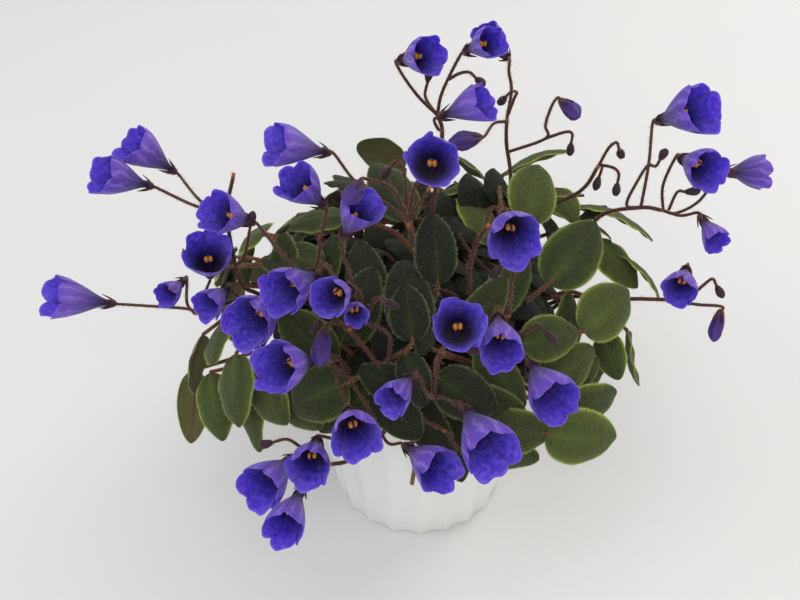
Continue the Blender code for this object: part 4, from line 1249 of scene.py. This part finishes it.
far_side = back_leaves()
filling = filling_leaves(random.Random(SEED + 1))
print("leaves in the shade at the back:", len(filling) + len(SHADED_LEAVES))

# %% One leaf, and the stalk of a lost one
SHADED_SIZE = (16, 10)


def outer_and_lit(middle):
    """0 in the middle of the dome, 1 far out at its sides, low down or behind. It is partly
    painted light: leaves on the right, under the warm lamp, and leaves at the back, lit from
    behind, get more of it and so are painted lighter.
    """
    side = abs(middle.x - 4.0) / 95.0
    low = (128.0 - middle.z) / 70.0
    # Painted light: leaves on the right, under the warm lamp, are painted lighter.
    warm = 0.24 if middle.x > 20 else 0.0
    # Painted light: leaves at the back, lit from behind, are painted lighter.
    far = 0.48 * clamp((middle.y - 6.0) / 30.0)
    return clamp(0.75 * side + 0.35 * low + warm + far - 0.12)


def grow_leaf(skin, path, row, outer, chance, share=None):
    """A leaf on its stem. One that shows is given its share of the way up, and has a fringe."""
    shows = share is not None
    blade = Blade(*row, chance)
    tone = chance.random()
    size = (BLADE_ROWS, BLADE_COLUMNS) if shows else SHADED_SIZE
    grow_blade(skin, blade, tone, outer, *size)
    start = petiole_start(path, share if shows else chance.random(), blade.foot)
    grow_petiole(skin, blade, start, tone, outer, chance)
    if shows:
        grow_fringe(skin, blade, tone, outer, chance)


# It hangs over the pot's rim in front.
LEAF_STUB = ((-11, -42, 96), (-6, -54, 94), (-3, -60, 79), (-4, -59, 62))


def grow_stub(skin, chance):
    line = smooth_path([Vector(place) for place in LEAF_STUB], 4)
    rings = stalk_rings(line, lambda share: PETIOLE_RADIUS, PETIOLE_SIDES)
    skin.loft(rings, (0, 0, 1, 0.7, 0, 0.5, 0.6))
    fur(skin, line, PETIOLE_RADIUS, 5, 0.8, (0, 0, 0, 0, 0.6, 0.5, 0.6), chance)


print("outerness at the left edge:", round(outer_and_lit(Vector((-100, 0, 100))), 2))

# %% Growing the leafy stems
def leaf_row(foot, tip, width, roll):
    return Vector(foot), Vector(tip), width, roll


for crown, plan in CROWNS.items():
    chance = random.Random(SEED + len(crown) + plan["top"][0])
    skin = Skin(*LEAF_MARKS)
    path = stem_path(crown)
    line = [path[0], *smooth_path(path[1:], 3)]
    rings = stalk_rings(line, lambda share: STEM_RADIUS * (1 - 0.25 * share), 14)
    skin.loft(rings, (0, 0, 1, 0.85, 0, 0.5, 0.2))
    fur(skin, line[2:], STEM_RADIUS * 0.9, 8, 1.0, (0, 0, 0, 0, 1, 0.5, 0.2), chance)
    leaves = [leaf_row(*row) for row in plan["leaves"]]
    leaves += [row for name, row in far_side if name == crown]
    leaves.sort(key=lambda row: row[0].z)
    for k, row in enumerate(leaves):
        outer = outer_and_lit((row[0] + row[1]) / 2)
        grow_leaf(skin, path, row, outer, chance, (k + 0.5) / len(leaves))
    shaded = [(row, DEEP) for row in inner_leaves(crown, chance)]
    shaded += [(row, FILL_OUTER) for name, row in filling if name == crown]
    shaded += [(leaf_row(*row), HALF_DEEP) for name, *row in SHADED_LEAVES if name == crown]
    for row, outer in shaded:
        grow_leaf(skin, path, row, outer, chance)
    if crown == "front_left":
        grow_stub(skin, chance)
    name = "foliage_" + crown
    put(name, skin.mesh(name), leaf_velvet, "leaf", "leafy_stem_" + crown)
    print(name, "has", len(leaves), "leaves,", triangle_counts[name], "triangles")

# %% [markdown]
# ## The flower stalks
# The stalks are as thin as knitting needles, red-brown, and so hairy that they glow against
# the light. Each ends in five dark pointed sepals that hold a bell, or in a bud that hooks
# over. Blender's own hair would be quick, but a part made for other programs needs real
# faces, so each hair is a cone of three sides.

# %% The directions of a flower
PEDUNCLE_RADIUS = 0.95
PEDICEL_RADIUS = 0.7
PETALS = 5
STALK_MARKS = ("hair", "sepal", "bud", "cut", "along", "violet")
HAIR_MARKS = (1, 0, 0, 0, 0, 0)
NEARLY_UPRIGHT = 0.95


def axis_frame(foot, mouth):
    """Side, top and axis directions of a flower, whose top is turned to the sky."""
    axis = (mouth - foot).normalized()
    sky = Vector((0, 0, 1)) if abs(axis.z) < NEARLY_UPRIGHT else Vector((0, 1, 0))
    top = (sky - sky.dot(axis) * axis).normalized()
    return top.cross(axis), top, axis


def flower_ring(foot, frame_of, distance, radius, count):
    """A ring round a flower's axis, its first point at the top. The radius may vary by point."""
    side, top, axis = frame_of
    ring = []
    for k in range(count):
        angle = 2 * math.pi * (k / count)
        reach = radius(k) if callable(radius) else radius
        out = (top * math.cos(angle) + side * math.sin(angle)) * reach
        ring.append(foot + axis * distance + out)
    return ring


facing = axis_frame(Vector((0, 0, 0)), Vector((0, -1, 0)))
print("a flower's frame:", [tuple(round(c, 2) for c in way) for way in facing])

# %% Sepals
SEPAL_LENGTH = 5.2
SEPAL_FOOT = 1.3
SEPAL_LEAN = 1.5
# The cup below them: distance along the axis, and radius.
CUP = ((-2.0, 0.0), (-1.7, 0.8), (-0.6, 1.6), (0.6, 1.8), (1.6, 1.4), (2.2, 0.0))
CUP_SIDES = 12
# A sepal: share of its length, half its width, and half its thickness.
SEPAL_SHAPE = ((0, 0.85, 0.45), (0.25, 1.12, 0.4), (0.55, 0.78, 0.3), (0.82, 0.36, 0.2))


def tuft(skin, start, end, radius, count, chance):
    """Hairs round a short thick body."""
    hairs_round(skin, start, end - start, radius, count, (-0.3, 0.7), 1.0, (0.7, 1.3),
                HAIR_MARKS, chance)


def grow_calyx(skin, foot, tip, spread, chance):
    """A small hairy cup with five slender sepals, which stand between the petals."""
    frame_of = axis_frame(foot, tip)
    side, top, axis = frame_of
    rings = [flower_ring(foot, frame_of, d, r, CUP_SIDES if r else 1) for d, r in CUP]
    skin.loft(rings, (0, 0.7, 0, 0, 0, 0))
    for k in range(PETALS):
        angle = 2 * math.pi * (k + 0.5) / PETALS + chance.uniform(-0.15, 0.15)
        out = top * math.cos(angle) + side * math.sin(angle)
        flank = axis.cross(out)
        length = SEPAL_LENGTH * chance.uniform(0.92, 1.12)
        lean = SEPAL_LEAN + spread + chance.uniform(-0.1, 0.5)
        rings = []
        for share, half, thick in SEPAL_SHAPE:
            middle = foot + axis * (length * share) + out * (SEPAL_FOOT + lean * share ** 0.8)
            wide, deep = flank * half, out * thick
            rings.append([middle + wide, middle + deep, middle - wide, middle - deep])
            if share:
                root = middle + wide * chance.choice((-1, 1))
                way = (out + flank * chance.uniform(-1, 1) + axis * 0.4).normalized()
                skin.hair(root, way, chance.uniform(0.7, 1.2), HAIR_RADIUS, HAIR_MARKS)
        start = rings[0][0].lerp(rings[0][2], 0.5) - axis * 0.3
        end = foot + axis * length + out * (SEPAL_FOOT + lean)
        skin.loft([[start], *rings, [end]], (0, 1, 0, 0, 0, 0))
    tuft(skin, foot - axis * 1.2, foot + axis * 1.2, 1.6, 26, chance)


print("sepals on a flower:", PETALS)

# %% Buds and shut flowers
BUD_SIDES = 20
# Share of the length, and radius as a share of the widest one.
BUD_SHAPE = ((0.0, 0.42), (0.14, 0.66), (0.32, 0.86), (0.52, 1.0), (0.7, 0.96), (0.85, 0.70),
             (0.95, 0.36))
FOLD_TWIST = 2.2


def grow_bud(skin, foot, tip, radius, folds, violet, chance):
    """A drop with soft folds: a bud that hasn't opened, or a bell that has shut again."""
    frame_of = axis_frame(foot, tip)
    length = (tip - foot).length
    rings = [[foot - frame_of[2] * 0.1 * length]]
    for share, swell in BUD_SHAPE:
        def wavy(k):
            fold = PETALS * 2 * math.pi * k / BUD_SIDES + FOLD_TWIST * share
            return swell * radius * (1 + folds * math.cos(fold))
        rings.append(flower_ring(foot, frame_of, share * length, wavy, BUD_SIDES))
    rings.append([tip])
    skin.loft(rings, [(0, 0, 1, 0, k / (len(rings) - 1), violet) for k in range(len(rings))])
    tuft(skin, foot, foot.lerp(tip, 0.5), radius * 0.75, 22, chance)


print("a bud has folds round it, and hairs on its lower half")

# %% [markdown]
# The stalks are red-brown with a little green, the sepals a brown so dark that it looks
# purple, and the buds a dull purple-grey. A stalk that once bore a flower ends in an
# orange-brown stub. All four finishes are one material that is steered by marks.

# %% Hairy stalk
def stalk_recipe():
    cloud, fine = grain(3.0), grain(0.4)
    base = blend(cloud, colour(58, 29, 27), colour(86, 48, 39))
    sepal = blend(cloud, colour(46, 22, 30), colour(84, 44, 48))
    bud = blend(mark("along") * 0.6 + cloud * 0.4, colour(40, 21, 26), colour(64, 42, 60))
    shut = blend(mark("along") * 0.5 + cloud * 0.5, colour(34, 20, 54), colour(84, 58, 146))
    bud = blend(mark("violet"), bud, shut)
    base = blend(mark("sepal"), base, sepal)
    base = blend(mark("bud"), base, bud)
    base = blend(mark("cut"), base, colour(186, 104, 50))
    base = blend(mark("hair"), base, colour(176, 134, 116))
    return base, fine * 0.25 + 0.5, cloud * 0.2 + fine * 0.04


stalk_hairy = surface("stalk_hairy", stalk_recipe, Sheen_Weight=0.15, Sheen_Roughness=0.4,
                      Sheen_Tint=(1.0, 0.85, 0.75, 1.0), Specular_IOR_Level=0.3)

# %% Where the sprays run
BUD_LENGTH = 6.5
BUD_RADIUS = 1.8
FLOWER_LEAD = 3.0


def flower_ends(number):
    """The foot and the tip of a flower, open or shut."""
    foot, tip, _ = BLOOMS.get(number) or SHUT_FLOWERS[number]
    return Vector(foot), Vector(tip)


def stalk_points(end, points):
    """The stalk's own points, carried on to the foot of the flower that it bears."""
    path = [Vector(place) for place in points]
    if end in BLOOMS or end in SHUT_FLOWERS:
        foot, tip = flower_ends(end)
        path += [foot - (tip - foot).normalized() * FLOWER_LEAD, foot]
    return path


def axil(crown, bearing, share):
    """A place beside a leafy stem, a gap away from its side, where a spray starts."""
    path = stem_path(crown)
    angle = math.radians(bearing)
    way = Vector((math.cos(angle), math.sin(angle), 0))
    point = point_at(path, 1 + share * (len(path) - 2))
    return point + way * (STEM_RADIUS + PEDUNCLE_RADIUS + GAP)


print("the tall spray starts at", [round(value) for value in axil(*SPRAYS["tall"][:3])])

# %% Growing the sprays
SPRAY_SEED = 100
STALK_SIDES = 8
STALK_HAIRS_PER_MM = 5
STALK_HAIR_LENGTH = 1.3


def grow_end(skin, end, path, chance):
    """What a stalk bears: a calyx, a shut flower with its calyx, or a bud."""
    if end in BLOOMS:
        grow_calyx(skin, *flower_ends(end), 0.6, chance)
    elif end in SHUT_FLOWERS:
        grow_calyx(skin, *flower_ends(end), 0.1, chance)
        grow_bud(skin, *flower_ends(end), SHUT_FLOWERS[end][2], 0.26, 1, chance)
    elif end == "bud":
        tip = path[-1] + (path[-1] - path[-2]).normalized() * BUD_LENGTH
        grow_bud(skin, path[-1], tip, BUD_RADIUS, 0.08, 0, chance)


def grow_stalk(skin, path, thickness, end, chance):
    line = smooth_path(path, 6)
    rings = stalk_rings(line, lambda share: thickness * (1 - 0.15 * share), STALK_SIDES)
    values = [(0, 0, 0, 0, 0, 0)] * len(rings)
    if end == "cut":
        values[-2:] = [(0, 0, 0, 1, 0, 0)] * 2
    skin.loft(rings, values)
    fur(skin, line, thickness, STALK_HAIRS_PER_MM, STALK_HAIR_LENGTH, HAIR_MARKS, chance)


for number, (name, (crown, bearing, share, stalks)) in enumerate(SPRAYS.items()):
    chance = random.Random(SPRAY_SEED + number)
    skin = Skin(*STALK_MARKS)
    for k, (end, *points) in enumerate(stalks):
        path = stalk_points(end, points)
        if k == 0:
            path.insert(0, axil(crown, bearing, share))
        grow_stalk(skin, path, PEDICEL_RADIUS if k else PEDUNCLE_RADIUS, end, chance)
        grow_end(skin, end, path, chance)
    mesh = skin.mesh("spray_" + name)
    put("spray_" + name, mesh, stalk_hairy, "flower_stalk", "flower_stalk_" + name)
print("spray triangles:", triangles_of("spray"))

# %% [markdown]
# ## The bells
# A flower is a bell of one petal tissue: a narrow tube that widens to a mouth about 20 mm
# across and splits into five rounded lobes that overlap like roof tiles. The two upper lobes
# are short and arch inwards, and the lower three reach out. A turned bell with a wavy rim has
# no overlaps, so each fifth of the bell is its own sheet: the sheets share their edges up to
# the notch between two lobes, and above it they part, one in front of the other.

# %% The bell's profile and its five lobes
MOUTH_RADIUS = 9.5
NOTCH = 0.60
OVERLAP = 0.30
BELL_ROWS = 20
LOBE_COLUMNS = 14
# Share of the way up, distance along the axis as a share of the length, radius as a share.
BELL_PROFILE = ((0.0, 0.05, 0.12), (0.12, 0.15, 0.17), (0.28, 0.31, 0.34), (0.46, 0.52, 0.60),
                (0.64, 0.75, 0.84), (0.82, 0.90, 0.95), (1.0, 1.02, 1.0))
# For each lobe from the top: how much longer it is in millimetres, and its outward curl.
LOBES = ((0.5, -0.10), (1.3, 0.02), (2.6, 0.05), (1.3, 0.02), (0.5, -0.10))
bell_curve = smooth_path([Vector(row) for row in BELL_PROFILE], 8)


def bell_at(share):
    """Distance and radius, both as shares, at a share of the way up the bell."""
    near = bell_curve[0]
    for far in bell_curve[1:]:
        if share <= far.x:
            part = (share - near.x) / (far.x - near.x)
            return near.y + (far.y - near.y) * part, near.z + (far.z - near.z) * part
        near = far
    return near.y, near.z


print("the bell at half height:", [round(value, 2) for value in bell_at(0.5)])

# %% A point on a bell
BELL_SEED = 500
HALF_LOBE = 180 / len(LOBES)
# Height of a lobe at its sides, as a share of its height in the middle.
LOBE_SHOULDER = 0.34
DENT_WIDTH = 0.22
# How far the ruffles move the rim in millimetres, along the axis and away from it.
RUFFLE_ALONG, RUFFLE_OUT = 0.30, 0.75
# One side of each lobe stands out further than the other, so that it lies over its neighbour.
LAP = 0.5
CREASE = 0.045
THROAT = 0.3


class Bell:
    """The surface of one corolla, with ruffles of its own."""

    def __init__(self, number):
        self.foot, mouth = flower_ends(number)
        self.size = BLOOMS[number][2]
        self.side, self.top, self.axis = axis_frame(self.foot, mouth)
        self.length = (mouth - self.foot).length
        self.reach = MOUTH_RADIUS * self.size
        self.chance = random.Random(BELL_SEED + number)
        self.wave = [self.chance.uniform(0, 2 * math.pi) for _ in LOBES]
        self.dent = [self.chance.uniform(-0.04, 0.09) for _ in LOBES]
        self.fold = [self.chance.uniform(-0.12, 0.06) for _ in LOBES]

    def inside(self, share, lift):
        """A place on the axis at a share of the length, lifted towards the top."""
        return self.foot + self.axis * self.length * share + self.top * lift

    def point(self, lobe, share, s, inner):
        """A point of a lobe: share up the bell, s from -1 to 1 across, on the inner skin or not."""
        longer, curl = LOBES[lobe]
        if share > NOTCH:
            rounding = LOBE_SHOULDER + (1 - LOBE_SHOULDER) * (1 - abs(s) ** 2.6) ** 0.55
            rounding -= self.dent[lobe] * math.exp(-((s / DENT_WIDTH) ** 2))
            share = NOTCH + (share - NOTCH) * rounding
        free = max(0.0, (share - NOTCH) / (1 - NOTCH))
        far, wide = bell_at(share)
        start = self.wave[lobe]
        wave = math.sin(3.6 * s + start) + 0.28 * math.sin(8.5 * s + 2 * start)
        distance = far * self.length + longer * self.size * free ** 1.4
        distance += RUFFLE_ALONG * wave * free ** 2
        radius = self.reach * (wide + (curl + self.fold[lobe]) * free ** 2)
        radius += RUFFLE_OUT * wave * free ** 1.6 * self.size + LAP * s * free
        radius *= 1 - CREASE * abs(s) ** 3 * math.sin(math.pi * min(1, share * 1.1))
        if inner:
            thickness = 0.20 + 0.30 * (1 - share)
            radius = max(THROAT, radius - thickness)
            distance += 0.2 * (1 - free)
        turn = HALF_LOBE * (1 + 2 * lobe) + HALF_LOBE * s * (1 + OVERLAP * free)
        angle = math.radians(turn)
        out = self.top * math.cos(angle) + self.side * math.sin(angle)
        return self.foot + self.axis * distance + out * radius, share


print("a bell has", BELL_ROWS * LOBE_COLUMNS * len(LOBES) * 2, "points")

# %% Growing a bell from its five sheets
PETAL_MARKS = ("depth", "inner", "across", "anther", "style", "tone")
NOTCH_ROW = int(NOTCH * BELL_ROWS)


def strip(skin, near, far):
    """Faces between two rows of points."""
    skin.faces.extend(zip(near, near[1:], far[1:], far))


def grow_sheets(skin, bell, inner, tone):
    """One skin of the bell. It returns the point numbers as [lobe][row][column]."""
    sheets = []
    for lobe in range(len(LOBES)):
        rows = []
        for i in range(BELL_ROWS + 1):
            row = []
            for j in range(LOBE_COLUMNS + 1):
                s = 2 * j / LOBE_COLUMNS - 1
                shared = i <= NOTCH_ROW
                if shared and j == 0 and lobe > 0:
                    row.append(sheets[lobe - 1][i][-1])
                elif shared and j == LOBE_COLUMNS and lobe == len(LOBES) - 1:
                    row.append(sheets[0][i][0])
                else:
                    place, depth = bell.point(lobe, i / BELL_ROWS, s, inner)
                    row += skin.row([place], [(depth, inner, s, 0, 0, tone)])
            rows.append(row)
        sheets.append(rows)
        for near, far in zip(rows, rows[1:]):
            strip(skin, near, far)
    return sheets


def close_edges(skin, outer, inner):
    """Strips that join the two skins round the rim, the notches and the foot."""
    for lobe_outside, lobe_inside in zip(outer, inner):
        for i in (0, -1):
            strip(skin, lobe_outside[i], lobe_inside[i])
        for j in (0, -1):
            near, far = [[row[j] for row in rows[NOTCH_ROW:]] for rows in (lobe_outside, lobe_inside)]
            strip(skin, near, far)


print("each bell:", BELL_ROWS, "rows,", LOBE_COLUMNS, "columns a lobe")

# %% Anthers and style
# Rise and reach of an anther's rings, as shares of its own.
ANTHER_SHAPE = ((-1.0, 0), (-0.75, 0.66), (-0.3, 0.96), (0.2, 1.0), (0.7, 0.7), (1.0, 0))
ANTHER_SIDES = 10
ANTHER_RISE, ANTHER_WIDE, ANTHER_HIGH = 1.5, 0.95, 1.4
ANTHER_ASIDE = 0.88


def grow_anthers(skin, bell, tone):
    """Two orange anthers side by side on bent filaments, and a dark style above them."""
    for sign in (-1, 1):
        middle = bell.inside(0.62, 0.6) + bell.side * sign * ANTHER_ASIDE
        middle += bell.top * bell.chance.uniform(-0.3, 0.3)
        rings = []
        for rise, share in ANTHER_SHAPE:
            ring = []
            for n in range(ANTHER_SIDES if share else 1):
                angle = 2 * math.pi * n / ANTHER_SIDES
                out = bell.side * math.cos(angle) * ANTHER_WIDE
                out += bell.top * math.sin(angle) * ANTHER_HIGH
                ring.append(middle + bell.axis * rise * ANTHER_RISE + out * share)
            rings.append(ring)
        skin.loft(rings, (1, 1, 0, 1, 0, tone))
        root = bell.inside(0.28, -1.2)
        path = smooth_path([root, root.lerp(middle, 0.5) - bell.top, middle - bell.axis], 4)
        skin.loft(stalk_rings(path, lambda share: 0.32, 6), (0.5, 1, 0, 0, 0.5, tone))
    style = smooth_path([bell.inside(0.2, 0), bell.inside(0.55, 2.0), bell.inside(0.80, 0.8)], 6)
    skin.loft(stalk_rings(style, lambda share: 0.42 - 0.1 * share, 8), (0.5, 1, 0, 0, 1, tone))


print("an anther is", 2 * ANTHER_RISE, "mm long")

# %% [markdown]
# Outside, the petals are lilac, with paler streaks painted on as sheen, and darker towards the
# calyx. Inside they are deep blue-violet with paler patches painted on as light, almost black
# in the throat, partly their own colour and partly painted shade, and lighter towards the rim,
# with fine darker veins that run up each lobe. The marks say which skin a point is on and how
# deep it lies. The anthers are orange-yellow and the style dark purple.

# %% Violet petal
def petal_recipe():
    depth, inner, across = mark("depth"), mark("inner"), mark("across")
    cloud, cells = grain(6.0), grain(0.25, 2.0)
    veins = abs((across * 15.0).sine())
    vein = (1 - veins.between(0.0, 0.35)) * depth.between(0.2, 0.5) * (1 - depth.between(0.75, 1.0))
    tint = mark("tone") * 0.5 + cloud * 0.5
    lilac_and_sheen = blend(tint, colour(72, 40, 146), colour(130, 100, 204))
    # Painted sheen: paler lilac streaks up the outside of the lobes.
    painted_sheen = (across * 7.0 + cloud * 9.0).sine().between(0.2, 1.0)
    lilac_and_sheen = blend(painted_sheen * 0.5, lilac_and_sheen, colour(160, 134, 222))
    outside = blend(depth.between(0.06, 0.78), colour(42, 16, 72), lilac_and_sheen)
    outside = blend(depth.between(0.8, 1.0) * 0.5, outside, colour(84, 54, 184))
    patch = grain(2.2, 4.0, 0.6)
    # Painted light: the blue-violet of the inside, with paler cloudy patches, as on lit lobes.
    lit = blend(patch.between(0.35, 0.7), colour(72, 48, 180), colour(124, 106, 230))
    lit = blend(tint * 0.5, lit, colour(100, 80, 212))
    # Darker into the throat: partly the petal's own deep violet, partly painted shade.
    inside = blend(depth.between(0.34, 0.80), colour(12, 5, 36), lit)
    inside = blend(depth.between(0.86, 1.0) * 0.4, inside, colour(110, 88, 220))
    base = blend(inner, outside, inside)
    base = blend(vein * (0.45 - inner * 0.1), base, colour(44, 14, 112))
    base = blend(mark("style"), base, colour(58, 22, 84))
    pollen = blend(cells, colour(206, 118, 14), colour(240, 170, 44))
    base = blend(mark("anther"), base, pollen)
    relief = veins * 0.10 + cloud * 0.3 + cells * 0.05 + grain(1.1, 4.0, 0.6) * 0.6
    return base, cells * 0.2 + 0.42, relief


petal_violet = surface("petal_violet", petal_recipe, Sheen_Weight=0.2, Sheen_Roughness=0.35,
                       Sheen_Tint=(0.90, 0.78, 1.0, 1.0), Specular_IOR_Level=0.4,
                       Subsurface_Weight=0.6, Subsurface_Radius=(0.9, 0.5, 2.2),
                       Subsurface_Scale=MM)

# %% Growing all the bells
for number in BLOOMS:
    bell = Bell(number)
    tone = bell.chance.random()
    skin = Skin(*PETAL_MARKS)
    outer_sheets = grow_sheets(skin, bell, 0, tone)
    inner_sheets = grow_sheets(skin, bell, 1, tone)
    close_edges(skin, outer_sheets, inner_sheets)
    grow_anthers(skin, bell, tone)
    name = "bell_%02d" % number
    put(name, skin.mesh(name), petal_violet, "petal", "flower_%02d" % number)
print("bell triangles:", triangles_of("bell"))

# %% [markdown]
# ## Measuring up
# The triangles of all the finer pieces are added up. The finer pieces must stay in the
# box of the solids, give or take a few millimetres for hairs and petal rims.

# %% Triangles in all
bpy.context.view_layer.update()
print("triangles in all:", sum(triangle_counts.values()))
